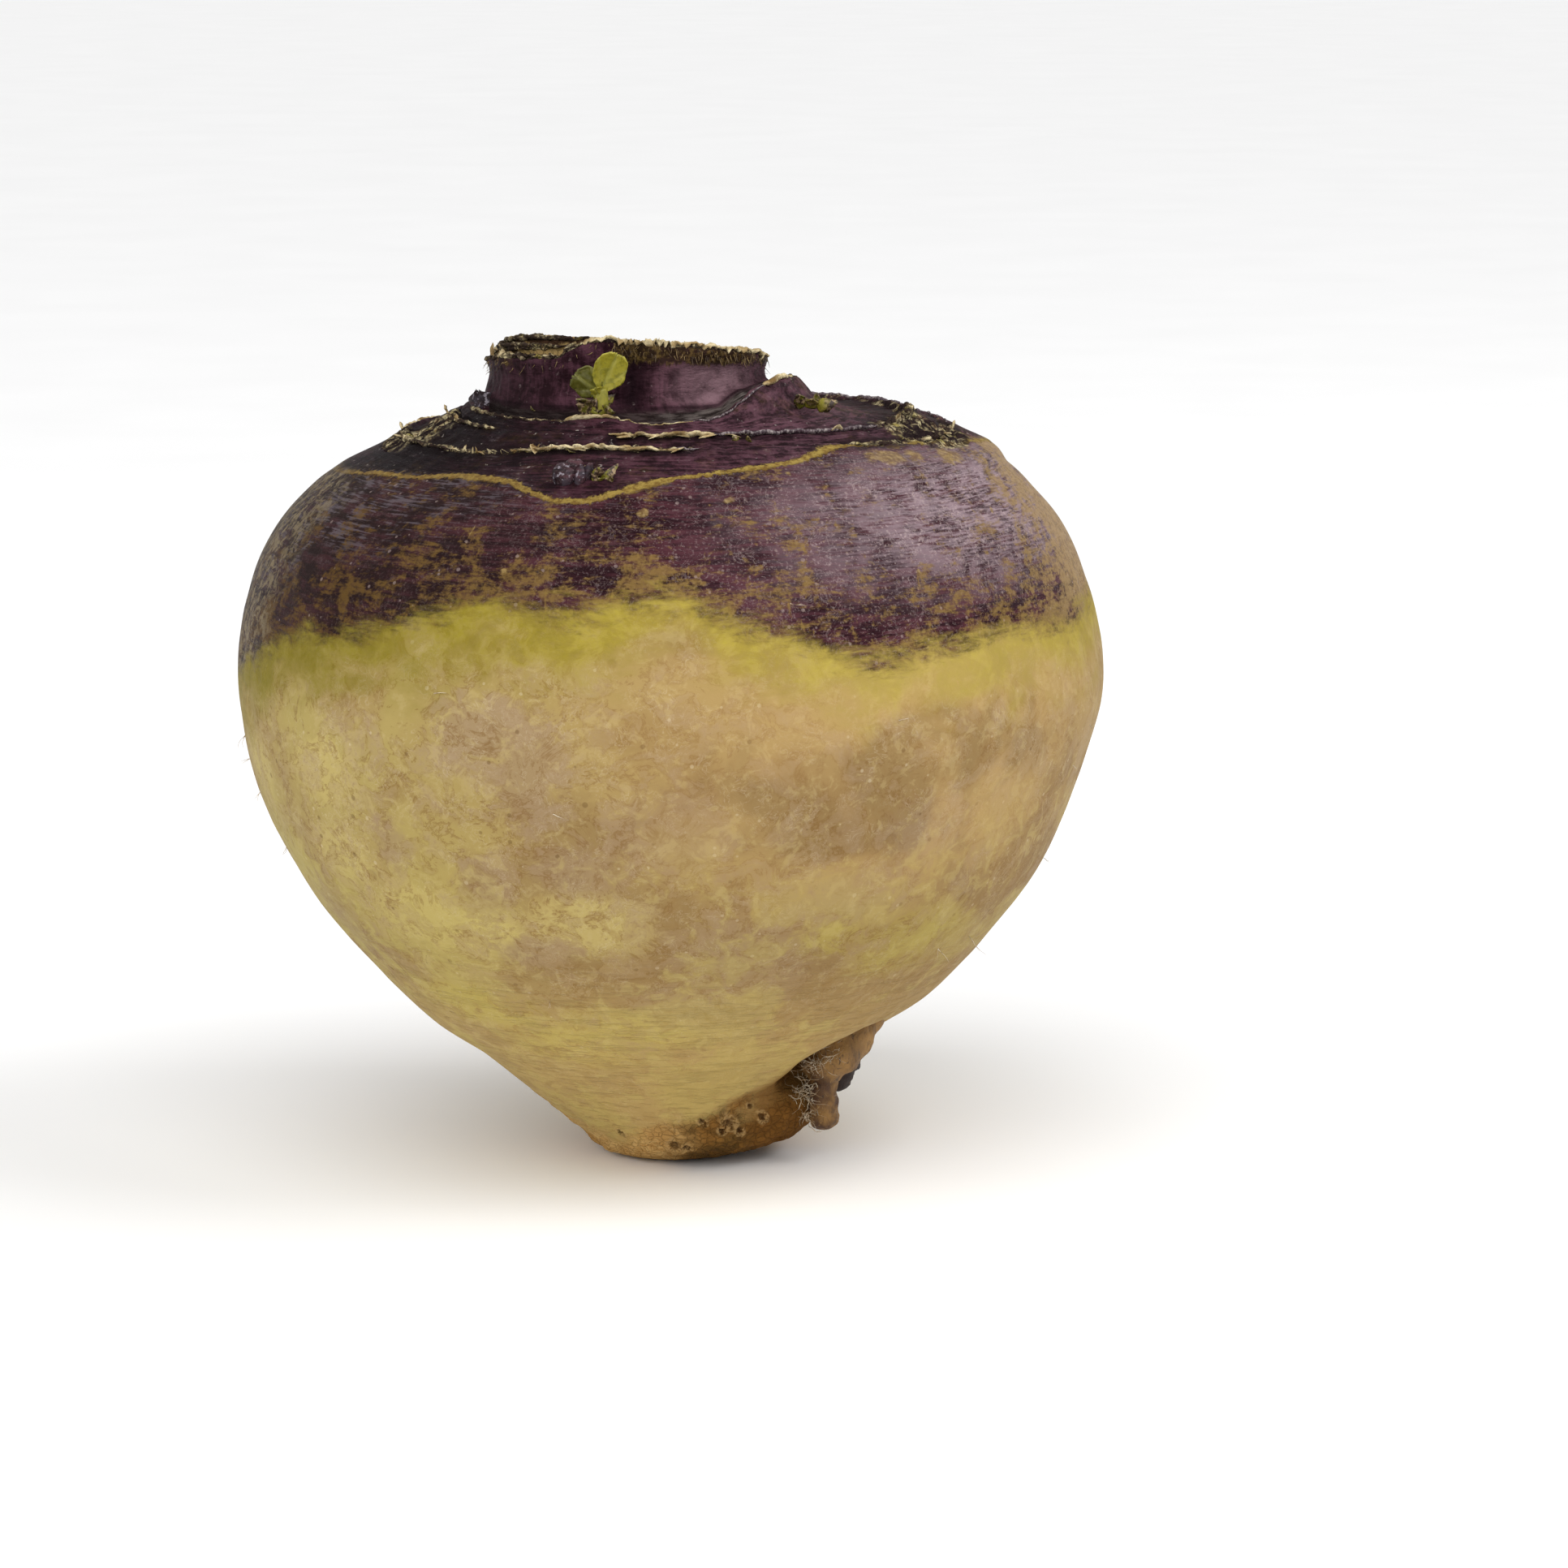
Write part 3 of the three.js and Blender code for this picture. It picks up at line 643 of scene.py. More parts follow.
def read_place(azimuth, row, point):
    """Every drawn quantity at one place of the skin, by name. The point is in millimetres."""
    radius = math.hypot(point.x, point.y)
    crown_x, crown_y = point.x - DOME_X, point.y - DOME_Y
    crown_radius, crown_azimuth = math.hypot(crown_x, crown_y), math.degrees(math.atan2(crown_y, crown_x))
    place = {name: -1.0 for name in ("cream", "pink", "brown", "yellow")}
    if row < LIP_ROWS["dome edge"]:
        for tint, *mark in PATCHES:
            place[tint] = max(place[tint], 1 - blob(azimuth, point.z, radius, mark))
    on_top = row > BASE_ROWS + 0.6 * BODY_ROWS
    slope = math.hypot(1, 4 * DOME_FALL * crown_radius ** 3)
    off_scar = (crown_radius - drawn(SCAR_LINE, crown_azimuth)) * slope
    spot = min(blob(azimuth, point.z, radius, mark) for mark in SPOTS) if on_top else 4.0
    ring = blob(azimuth, point.z, radius, (*RING_SCAR[:2], RING_SCAR[2], RING_SCAR[2]))
    pits = [blob(azimuth, point.z, radius, (*mark, mark[2])) for mark in PITS if abs(point.z - mark[1]) < 4]
    taller = 5 * windowed(azimuth, -50, 70)  # the brown climbs higher at the right front
    place.update({
        "pit": min([3.0, *pits]),
        # how near a place lies to the foot of the side roots, where the finish paints shade
        "stub_shade": 1 - smooth(3.5, 18, (point - STUB_FOOT).length),
        "purple": min(30.0, point.z - drawn(PURPLE_EDGE, azimuth)),
        "scar": max(-20.0, min(20.0, off_scar)) if on_top else 20.0,
        "scar_ink": max(0.0, drawn(SCAR_INK, crown_azimuth)) if on_top else 0.0,
        "spot": min(4.0, spot, 1 + 6 * abs(ring - 0.8) if on_top else 4.0),
        "lip": max(
            near_rows(row, LIP_ROWS["outer lip"], LIP_ROWS["outer foot"] - 1, 3)
            * around(CORK_ON_OUTER_LIP, crown_azimuth),
            near_rows(row, LIP_ROWS["middle lip"], LIP_ROWS["middle foot"] - 1, 3)
            * around(CORK_ON_MIDDLE_LIP, crown_azimuth),
            near_rows(row, LIP_ROWS["collar lip"], LIP_ROWS["collar ledge"], 2)
            * around(CORK_ON_COLLAR, crown_azimuth),
            near_rows(row, LIP_ROWS["rim"], LIP_ROWS["bark"], 3),
        ),
        # the feet of the terraces and the groove round the neck, which the finish darkens as painted shade
        "groove": max(
            near_rows(row, LIP_ROWS["outer foot"], LIP_ROWS["outer foot"] + 2, 4),
            near_rows(row, LIP_ROWS["middle foot"], LIP_ROWS["middle foot"] + 2, 4),
            near_rows(row, LIP_ROWS["groove"], LIP_ROWS["neck foot"], 3),
        ),
        "crust": near_rows(row, LIP_ROWS["outer apron"], LIP_ROWS["middle foot"], 5)
        * max(windowed(crown_azimuth, -17, 28), 0.8 * windowed(crown_azimuth, -172, 26)),
        "neck": near_rows(row, LIP_ROWS["neck foot"], LIP_ROWS["rim"], 1),
        "inner": near_rows(row, LIP_ROWS["groove"] + 1, LIP_ROWS["neck foot"] - 1, 1)
        * max(0.15, windowed(azimuth, -45, 68)),
        # the hollow in the front of the neck, where the finish lays a lighter plum as painted light
        "hollow": windowed(azimuth, -46, 40)
        * near_rows(row, LIP_ROWS["neck foot"] + 3, LIP_ROWS["rim"] - 8, 5),
        # the fold at the front of the neck and the neck's foot, which the finish darkens as painted shade
        "cleft": max(
            windowed(azimuth, -86, 13) * near_rows(row, LIP_ROWS["neck foot"], LIP_ROWS["rim"] - 2, 3),
            0.8 * near_rows(row, LIP_ROWS["neck foot"], LIP_ROWS["neck foot"], 1.5)),
        "shadow": max(
            near_rows(row, LIP_ROWS["outer lip"] - 3, LIP_ROWS["outer lip"], 2)
            * around(CORK_ON_OUTER_LIP, crown_azimuth),
            near_rows(row, LIP_ROWS["middle lip"] - 3, LIP_ROWS["middle lip"], 2)
            * around(CORK_ON_MIDDLE_LIP, crown_azimuth)),
        "pocket": min(1.0, hollows(azimuth, point.z) / 5.0),
        "below_rim": near_rows(row, LIP_ROWS["rim"] - 4, LIP_ROWS["rim"], 4) * around(TORN_RIM, azimuth),
        "cut": smooth(LIP_ROWS["rim"] + 1, LIP_ROWS["bark"], row),
        "heart": math.hypot(point.x - NECK_X, point.y - NECK_Y),
        "base": 1 - smooth(2.5 + 0.6 * taller, 13 + taller, point.z + 5 * noise.noise(point / 9)),
        "right_front": windowed(azimuth, -50, 70),
        "left": windowed(azimuth, -152, 74),
        # where the grey bloom and a painted sheen lie, on the right front of the shoulder
        "sheen_and_bloom": windowed(azimuth, -26, 68) * smooth(83, 97, point.z) * (1 - 0.7 * smooth(101, 106, point.z)),
        "bare": windowed(azimuth, 6, 44) * smooth(76, 86, point.z) * (1 - 0.6 * smooth(103, 106.5, point.z)),
        # a band along the left edge of the shoulder
        "left_edge_grey": windowed(azimuth, 178, 40) * smooth(62, 76, point.z) * (1 - smooth(98, 104, point.z)),
    })
    return place

# %% [markdown]
# ## Sculpting the relief
#
# Every point of the skin is now moved a little along its normal, as a sculptor would. The belly gets shallow
# swellings and dents, the terraces get notched and crumbling lips, the neck its upright folds, the cut its
# growth rings and the taproot end its pits. Real relief changes the outline and the shadows, which a bump
# in the finish can't do.

# %% Relief
DENT_SPACING, DENT_SHARE = 8, 0.3  # millimetres, and the share of cells of that size that hold a dent


def fibres(azimuth, point, width, length):
    """Noise drawn out along the way from root to neck."""
    turn = math.radians(azimuth)
    reach = math.hypot(point.x, point.y)
    return noise.noise(Vector((math.cos(turn) * reach / width, math.sin(turn) * reach / width,
                               point.z / length)))


def relief_at(azimuth, row, point, place):
    """How far the skin rises at one place, in millimetres."""
    on_body = smooth(6, 26, point.z) * (1 - smooth(100, 106, point.z))
    height = on_body * 0.30 * noise.noise(point / 13) + on_body * 0.10 * noise.noise(point / 4.5)
    if on_body > 0 and noise.cell_vector(point / DENT_SPACING).x < DENT_SHARE:
        middle = Vector([(math.floor(side / DENT_SPACING) + 0.5) * DENT_SPACING for side in point])
        height -= on_body * 0.22 * (1 - smooth(0.8, 3.4, (point - middle).length))
    scar = math.exp(-(place["scar"] / 0.7) ** 2) * place["scar_ink"]
    height += 0.13 * scar * (1 + 0.5 * noise.noise(point / 2.5))
    spot = 1 - smooth(0.5, 1.3, place["spot"])
    height += 0.14 * spot
    crown = smooth(LIP_ROWS["outer apron"] - 4, LIP_ROWS["outer lip"], row)
    on_terraces = crown * (1 - smooth(LIP_ROWS["groove"], LIP_ROWS["neck foot"], row))
    crust = noise.turbulence(point / 1.6, 3, False)
    height += place["lip"] * (0.55 * crust - 0.30)
    height += on_terraces * 0.18 * fibres(azimuth, point, 1.3, 40)
    height -= on_terraces * place["lip"] * 0.5 * smooth(0.25, 0.6, fibres(azimuth + 40, point, 0.9, 60))
    height += on_terraces * 0.22 * noise.noise(point / 3.1)
    height += place["neck"] * (0.10 * fibres(azimuth, point, 1.3, 9) + 0.45 * noise.noise(point / 6.5))
    height += place["neck"] * 0.16 * noise.noise(point / 2.2)
    nearest, second = noise.voronoi(point / 1.9)[0][:2]
    crevice = 1 - smooth(0.0, 0.22, second - nearest)
    height += place["crust"] * (0.55 * noise.noise(point / 2.4) - 0.5 * crevice)
    hollow = windowed(azimuth, -45, 46) * near_rows(row, LIP_ROWS["neck foot"] + 5, LIP_ROWS["rim"] - 7, 6)
    height -= 0.9 * hollow * place["neck"]
    rings = math.sin(2.4 * place["heart"] + 1.5 * noise.noise(point / 5))
    height += place["cut"] * (0.12 * rings + 0.25 * noise.turbulence(point / 2.5, 2, False) - 0.1)
    pits = noise.voronoi(point / 3.0)[0][0]
    low = place["base"] * smooth(0.3, 1.5, point.z)
    height += low * (0.45 * noise.noise(point / 2.6) + 0.20 * noise.noise(point / 1.1))
    height -= low * place["right_front"] * 0.4 * (1 - smooth(0.10, 0.42, pits))
    crumbs = 1 + noise.noise(point / 0.7)
    height += 0.30 * crumbs * math.exp(-((place["pit"] - 0.85) / 0.35) ** 2)
    height -= 0.4 * (1 - smooth(0.2, 0.7, place["pit"]))
    return height


UNROLLED_RADIUS = 40  # the skin is also measured as if it were wrapped round a straight tube this wide


def sculpt(mesh, turn_layer, row_layer):
    """Moves every point by the relief, and returns the drawn quantities, point by point."""
    mesh.normal_update()
    places, moves = [], []
    for vert in mesh.verts:
        point = vert.co / MM
        place = read_place(vert[turn_layer], vert[row_layer], point)
        moves.append(vert.normal * relief_at(vert[turn_layer], vert[row_layer], point, place) * MM)
        turn = math.radians(vert[turn_layer])
        place["unrolled"] = (UNROLLED_RADIUS * math.cos(turn), UNROLLED_RADIUS * math.sin(turn),
                             arc[round(vert[row_layer])])
        places.append(place)
    for vert, move in zip(mesh.verts, moves):
        vert.co += move
    return places


places = sculpt(skin, turn_layer, row_layer)
heights = [vert.co.z / MM for vert in skin.verts]
print("sculpted from", round(min(heights), 2), "to", round(max(heights), 2), "mm")

# %% Make the skin an object
def finish_piece(mesh, name, material, *nodes, slot="root_skin"):
    """Turns a bmesh into a smooth object that rides on the root, and hides the nodes given."""
    piece = bpy.data.objects.new(name, bpy.data.meshes.new(name))
    mesh.to_mesh(piece.data)
    mesh.free()
    piece.data.shade_smooth()
    piece.data.materials.append(material)
    bpy.context.scene.collection.objects.link(piece)
    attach(piece, "root")
    if nodes:
        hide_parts(*nodes)
    print(name, len(piece.data.polygons), "faces")
    return piece


skin_finish, skin_tree, skin_shader = new_material("rutabaga_skin")
root = finish_piece(skin, "root_skin", skin_finish, "root")
for name in places[0]:
    if name == "unrolled":
        layer = root.data.attributes.new(name, "FLOAT_VECTOR", "POINT")
        layer.data.foreach_set("vector", [side for place in places for side in place[name]])
    else:
        layer = root.data.attributes.new(name, "FLOAT", "POINT")
        layer.data.foreach_set("value", [place[name] for place in places])

# %% [markdown]
# ## Finishes that several pieces share
#
# Streaks, specks, threads, cork and purple skin turn up in more than one place: the dormant bud carries the
# same purple as the shoulder, and cork edges every old scar. Each is a shader group, built once and placed
# with its own values. A group hands back only colours, masks and heights, and the shader itself stays in
# the material.

# %% Helpers for shader groups
SOCKETS = {"vector": "NodeSocketVector", "value": "NodeSocketFloat", "colour": "NodeSocketColor"}


def new_group(name, inputs, outputs):
    """A shader group with named sockets. Returns it with its input and output nodes."""
    tree = bpy.data.node_groups.new(name, "ShaderNodeTree")
    for way, sockets in (("INPUT", inputs), ("OUTPUT", outputs)):
        for socket, kind in sockets.items():
            tree.interface.new_socket(name=socket, in_out=way, socket_type=SOCKETS[kind])
    return tree, tree.nodes.new("NodeGroupInput").outputs, tree.nodes.new("NodeGroupOutput").inputs


def use(tree, group, **inputs):
    return put(tree, "ShaderNodeGroup", inputs, node_tree=group).outputs


def stretched(tree, place, x, y, z):
    """A place divided by three sizes, so that the features of a pattern on it grow by those sizes."""
    sizes = put(tree, "ShaderNodeCombineXYZ", {0: x, 1: y, 2: z}).outputs[0]
    return put(tree, "ShaderNodeVectorMath", {0: place, 1: sizes}, operation="DIVIDE").outputs[0]

# %% Streaks: growth lines that run round the root
streaks, given, result = new_group("streaks", {"Place": "vector", "Length": "value", "Width": "value"},
                                   {"Amount": "value"})
spread = stretched(streaks, given["Place"], given["Length"], given["Length"], given["Width"])
lines = put(streaks, "ShaderNodeTexNoise", {"Vector": spread, "Scale": 1.0, "Detail": 4.0,
                                            "Roughness": 0.62, "Distortion": 0.15})
wire(streaks, lines.outputs["Fac"], result["Amount"])
tell("streaks", streaks)

# %% Specks: small round dots, some bigger and some missing
specks, given, result = new_group("specks", {"Place": "vector", "Spacing": "value", "Share": "value"},
                                  {"Amount": "value"})
spread = stretched(specks, given["Place"], given["Spacing"], given["Spacing"], given["Spacing"])
cells = put(specks, "ShaderNodeTexVoronoi", {"Vector": spread, "Scale": 1.0})
luck = put(specks, "ShaderNodeSeparateColor", {"Color": cells.outputs["Color"]})
size = times(specks, luck.outputs[1], 0.34)
dot = mask(specks, sums(specks, "SUBTRACT", size, cells.outputs["Distance"]), -0.05, 0.08)
present = sums(specks, "LESS_THAN", luck.outputs[0], given["Share"])
wire(specks, times(specks, dot, present), result["Amount"])
tell("specks", specks)

# %% Cork: cracked tan crust with dark crevices
cork, given, result = new_group("cork", {"Place": "vector"},
                                {"Colour": "colour", "Height": "value", "Roughness": "value"})
place = given["Place"]
crumbs = cloud(cork, place, (1.1, 1.1, 0.8), detail=5, rough=0.65)
plates = put(cork, "ShaderNodeTexVoronoi", {"Vector": place, "Scale": 0.9}, feature="DISTANCE_TO_EDGE")
cracks = mask(cork, sums(cork, "ADD", plates.outputs["Distance"], times(cork, crumbs, 0.2)), 0.20, 0.10)
colour = blended(cork, crumbs, 0.35, 0.62, (128, 104, 74), (206, 192, 150))
tints = cloud(cork, place, (4, 4, 3), detail=2)
colour = mixed(cork, mask(cork, tints, 0.55, 0.75), colour, screen_colour(150, 136, 66))
colour = laid(cork, colour, cracks, 0.85, (44, 30, 26))
wire(cork, colour, result["Colour"])
wire(cork, sums(cork, "SUBTRACT", times(cork, crumbs, 0.45), times(cork, cracks, 0.25)), result["Height"])
wire(cork, added(cork, 0.68, crumbs, 0.25), result["Roughness"])
tell("cork", cork)

# %% Threads: fine pale scratches and fibres that wander over the skin
threads, given, result = new_group("threads", {"Place": "vector", "Size": "value"}, {"Amount": "value"})
spread = stretched(threads, given["Place"], given["Size"], given["Size"], given["Size"])
swirl = put(threads, "ShaderNodeTexNoise", {"Vector": spread, "Scale": 1.0, "Detail": 3.0, "Roughness": 0.6,
                                            "Distortion": 1.6}).outputs["Fac"]
patches = put(threads, "ShaderNodeTexNoise", {"Vector": spread, "Scale": 0.45, "Detail": 2.0}).outputs["Fac"]
thin = mask(threads, sums(threads, "ABSOLUTE", sums(threads, "ADD", swirl, -0.5)), 0.028, 0.004)
wire(threads, times(threads, thin, mask(threads, patches, 0.46, 0.58)), result["Amount"])
tell("threads", threads)

# %% Purple: dark skin, streaked, with a grey bloom that is partly a painted sheen where the light falls
purple, given, result = new_group(
    "purple_skin", {"Place": "vector", "Unrolled": "vector", "Bloom": "value", "Dark": "value"},
    {"Colour": "colour", "Height": "value", "Roughness": "value"})
place, unrolled = given["Place"], given["Unrolled"]
long_lines = use(purple, streaks, Place=unrolled, Length=6.0, Width=1.0)["Amount"]
short_lines = use(purple, streaks, Place=unrolled, Length=2.2, Width=0.38)["Amount"]
clouds = cloud(purple, place, (9, 9, 7), detail=5, rough=0.65, warp=0.5)
dusting = cloud(purple, place, (0.45, 0.45, 0.40), detail=3, rough=0.75)
scratches = use(purple, threads, Place=place, Size=2.4)["Amount"]
colour = blended(purple, added(purple, long_lines, clouds, 0.8), 0.78, 1.04, (34, 11, 18), (72, 38, 45))
colour = laid(purple, colour, mask(purple, short_lines, 0.52, 0.66), 0.60, (28, 11, 17))
colour = laid(purple, colour, mask(purple, short_lines, 0.45, 0.30), 0.40, (100, 68, 72))
# The pale grey laid on where this value is high is partly the waxy bloom and partly a painted sheen.
sheen_and_bloom_share = times(purple, given["Bloom"], mask(purple, added(purple, clouds, short_lines, 1.3), 0.88, 1.32))
colour = laid(purple, colour, sheen_and_bloom_share, 0.90, (152, 132, 138))
# Dust and scratches are laid on more strongly there too, so they carry the painted sheen as well.
dust_and_sheen_strength = added(purple, 0.22, given["Bloom"], 0.42)
colour = laid(purple, colour, mask(purple, dusting, 0.53, 0.68), dust_and_sheen_strength, (182, 162, 160))
scratch_and_sheen_strength = added(purple, 0.12, given["Bloom"], 0.26)
colour = laid(purple, colour, scratches, scratch_and_sheen_strength, (190, 172, 168))
shade = times(purple, given["Dark"], mask(purple, added(purple, clouds, long_lines, 0.8), 1.10, 0.82))
colour = laid(purple, colour, shade, 0.85, (20, 12, 14))
wire(purple, colour, result["Colour"])
height = times(purple, long_lines, 0.20)
height = added(purple, height, short_lines, 0.16)
wire(purple, added(purple, height, dusting, 0.05), result["Height"])
wire(purple, added(purple, 0.34, dusting, 0.25), result["Roughness"])
print("groups:", [group.name for group in bpy.data.node_groups])

# %% [markdown]
# ## The finish of the skin
#
# The skin's colours are laid one on another in the order they grew: buff skin with its clouds of yellow,
# pink and brown, the green band that light made at the soil line, the purple of the shoulder with ochre
# showing through, then the scar line, cork, the cut and the brown taproot end. Painted shade and light are
# laid in too: shade in the grooves, in the neck's folds, low on the right and round the side roots, light
# low down and in the neck's hollow, and a sheen and glints on the purple. Each layer is a colour and a mask.
# The masks start from the drawn distances and are roughened by noise, so an edge is ragged close up but
# still lies where it should.

# %% Buff skin
tree = skin_tree
place = millimetres(tree)
unrolled = named(tree, "unrolled", "Vector")
broad = cloud(tree, place, (24, 24, 18), detail=4, rough=0.55, warp=0.5)
middle = cloud(tree, place, (6, 6, 5), detail=6, rough=0.68, warp=0.6)
patchy = cloud(tree, place, (3.2, 3.2, 3.0), detail=5, rough=0.66, warp=0.8)
fine = cloud(tree, place, (0.9, 0.9, 0.8), detail=4, rough=0.68)
TINTS = {
    # colour, strength, and the amounts where a patch begins and where it is full
    "yellow": ((168, 150, 78), 0.80, 1.95, 2.50),
    "cream": ((182, 163, 102), 0.85, 1.95, 2.45),
    "pink": ((148, 124, 95), 0.72, 1.85, 2.70),
    "brown": ((132, 103, 64), 0.46, 1.90, 2.75),
}
left, right_side = named(tree, "left"), named(tree, "right_front")
buff_tan = mixed(tree, left, screen_colour(142, 116, 75), screen_colour(160, 138, 86))
buff_gold = mixed(tree, left, screen_colour(156, 131, 82), screen_colour(168, 150, 90))
colour = mixed(tree, mask(tree, broad, 0.38, 0.62), buff_tan, buff_gold)
for tint, (paint, strength, low, high) in TINTS.items():
    amount = added(tree, named(tree, tint), patchy, 1.7)
    share = mask(tree, added(tree, amount, middle, 2.6), low, high)
    colour = laid(tree, colour, share, strength, paint)
tell("ground of the skin", tree)

# %% Mottling of the buff skin
haze = mask(tree, added(tree, middle, fine, 0.5), 0.78, 0.98)
colour = laid(tree, colour, haze, 0.46, (170, 148, 118))
stain = times(tree, mask(tree, patchy, 0.50, 0.66), mask(tree, broad, 0.56, 0.42))
colour = laid(tree, colour, stain, 0.38, (134, 102, 60))
grime = times(tree, mask(tree, fine, 0.54, 0.68), mask(tree, middle, 0.44, 0.60))
colour = laid(tree, colour, grime, 0.38, (120, 88, 50))
mottle = mask(tree, middle, 0.49, 0.56)
colour = laid(tree, colour, mottle, 0.28, (156, 132, 102))
pale_mottle = mask(tree, added(tree, patchy, fine, 0.4), 0.66, 0.56)
colour = laid(tree, colour, pale_mottle, 0.30, (184, 164, 114))
outline = mask(tree, sums(tree, "ABSOLUTE", sums(tree, "ADD", middle, -0.50)), 0.030, 0.004)
outline = times(tree, outline, mask(tree, patchy, 0.42, 0.56))
colour = laid(tree, colour, outline, 0.55, (122, 90, 50))
lace = mask(tree, sums(tree, "ABSOLUTE", sums(tree, "ADD", patchy, -0.47)), 0.026, 0.004)
lace = times(tree, lace, mask(tree, middle, 0.44, 0.56))
colour = laid(tree, colour, lace, 0.26, (126, 96, 54))
tell("with the mottling", tree)

# %% Fuzz and dots on the buff skin
fuzz = use(tree, threads, Place=place, Size=2.0)["Amount"]
colour = laid(tree, colour, fuzz, 0.20, (206, 190, 160))
dots = use(tree, specks, Place=place, Spacing=3.4, Share=0.14)["Amount"]
tiny_dots = use(tree, specks, Place=place, Spacing=1.3, Share=0.05)["Amount"]
pale_dots = use(tree, specks, Place=place, Spacing=1.0, Share=0.05)["Amount"]
colour = laid(tree, colour, dots, 0.30, (118, 86, 48))
colour = laid(tree, colour, tiny_dots, 0.5, (96, 68, 38))
colour = laid(tree, colour, pale_dots, 0.32, (214, 198, 166))
tell("with fuzz and dots", tree)

# %% The lower part and the right of the buff skin, with painted shade low on the right and light low down
level = put(tree, "ShaderNodeSeparateXYZ", {0: place}).outputs[2]
low_lines = use(tree, streaks, Place=unrolled, Length=7.0, Width=0.8)["Amount"]
low_share = times(tree, mask(tree, low_lines, 0.50, 0.66), mask(tree, level, 46, 26))
colour = laid(tree, colour, low_share, 0.24, (132, 104, 58))
# Painted shade: the lower right front of the skin is darkened.
lower_right_shade = times(tree, right_side, mask(tree, level, 62, 30))
colour = laid(tree, colour, lower_right_shade, 0.22, (132, 104, 68))
peach = times(tree, right_side, times(tree, mask(tree, level, 38, 56), mask(tree, broad, 0.36, 0.56)))
colour = laid(tree, colour, peach, 0.45, (190, 156, 104))
# Painted light: the skin is lightened towards the bottom.
painted_low_light = mask(tree, level, 40, 12)
colour = laid(tree, colour, painted_low_light, 0.45, (208, 178, 114))
lichen = times(tree, mask(tree, added(tree, middle, patchy, 0.8), 0.86, 1.02), mask(tree, level, 60, 30))
colour = laid(tree, colour, lichen, 0.28, (148, 120, 70))
greenish = times(tree, mask(tree, added(tree, broad, patchy, -0.6), 0.14, 0.30), mask(tree, level, 66, 40))
colour = laid(tree, colour, greenish, 0.30, (180, 164, 88))
buff = colour
buff_height = added(tree, times(tree, fine, 0.06), middle, 0.18)
buff_height = added(tree, buff_height, low_share, -0.12)
buff_height = added(tree, buff_height, dots, -0.06)
tell("buff skin", tree)

# %% The green band at the soil line
above_edge = named(tree, "purple")
ragged = cloud(tree, unrolled, (4.5, 4.5, 2.8), detail=6, rough=0.68, warp=0.5)
brushed = cloud(tree, unrolled, (2.4, 2.4, 0.7), detail=4, rough=0.65, warp=0.3)
edge = added(tree, sums(tree, "ADD", above_edge, -5.5), ragged, 11.0)
edge = added(tree, sums(tree, "ADD", edge, -1.5), brushed, 3.0)
band_cloud = cloud(tree, place, (11, 11, 7), detail=4, rough=0.6, warp=0.4)
band_edge = added(tree, sums(tree, "ADD", above_edge, -9.5), band_cloud, 19.0)
band_edge = added(tree, sums(tree, "ADD", band_edge, -2.5), patchy, 5.0)
band_share = mask(tree, band_edge, -12.5, -1.0)
green = blended(tree, middle, 0.38, 0.62, (128, 112, 26), (158, 142, 44))
green = laid(tree, green, left, 0.70, (102, 94, 18))
green = laid(tree, green, right_side, 0.50, (182, 162, 84))
band_share = times(tree, band_share, added(tree, 1.15, fine, -0.5))
buff = mixed(tree, times(tree, band_share, 0.92), buff, green)
tell("with the green band", tree)

# %% Purple shoulder with ochre showing through
dark = times(tree, left, mask(tree, level, 78, 92))
coat = use(tree, purple, Place=place, Unrolled=unrolled, Bloom=named(tree, "sheen_and_bloom"), Dark=dark)
ochre = mixed(tree, left, screen_colour(128, 102, 56), screen_colour(92, 68, 32))
ochre = laid(tree, ochre, named(tree, "bare"), 0.65, (182, 156, 116))
ochre = laid(tree, ochre, mask(tree, fine, 0.55, 0.40), 0.4, (86, 62, 44))
smudges = cloud(tree, unrolled, (2.4, 2.4, 0.8), detail=5, rough=0.70, warp=0.3)
upright = cloud(tree, unrolled, (0.8, 0.8, 3.6), detail=3, rough=0.6)
ochre_patches = cloud(tree, place, (5.6, 5.6, 4.2), detail=6, rough=0.66, warp=0.5)
near_edge = mask(tree, above_edge, 13.0, 1.0)
amount = added(tree, times(tree, near_edge, 0.10), smudges, 0.65)
amount = added(tree, amount, ochre_patches, 1.15)
low_left = times(tree, left, mask(tree, level, 102, 93))
amount = added(tree, amount, low_left, 0.05)
amount = added(tree, amount, named(tree, "bare"), 0.32)
amount = added(tree, amount, right_side, -0.02)
amount = added(tree, sums(tree, "ADD", amount, -0.175), fine, 0.35)
share = mask(tree, amount, 0.93, 1.15)
brown_coat = laid(tree, coat["Colour"], left, 0.62, (40, 28, 26))
slate_lines = use(tree, streaks, Place=unrolled, Length=4.0, Width=0.45)["Amount"]
slate = times(tree, mask(tree, added(tree, middle, slate_lines, 1.1), 1.04, 1.22),
              mask(tree, above_edge, 8.0, 14.0))
slate = times(tree, slate, added(tree, 0.15, left, 0.42))
brown_coat = mixed(tree, slate, brown_coat, screen_colour(102, 92, 98))
shoulder = mixed(tree, times(tree, share, 0.80), brown_coat, ochre)
dash_share = times(tree, mask(tree, upright, 0.62, 0.70),
                   mask(tree, added(tree, ochre_patches, near_edge, 0.14), 0.50, 0.62))
shoulder = mixed(tree, times(tree, dash_share, 0.65), shoulder, ochre)
flecks = use(tree, specks, Place=place, Spacing=0.9, Share=0.12)["Amount"]
shoulder = laid(tree, shoulder, flecks, 0.32, (168, 148, 142))
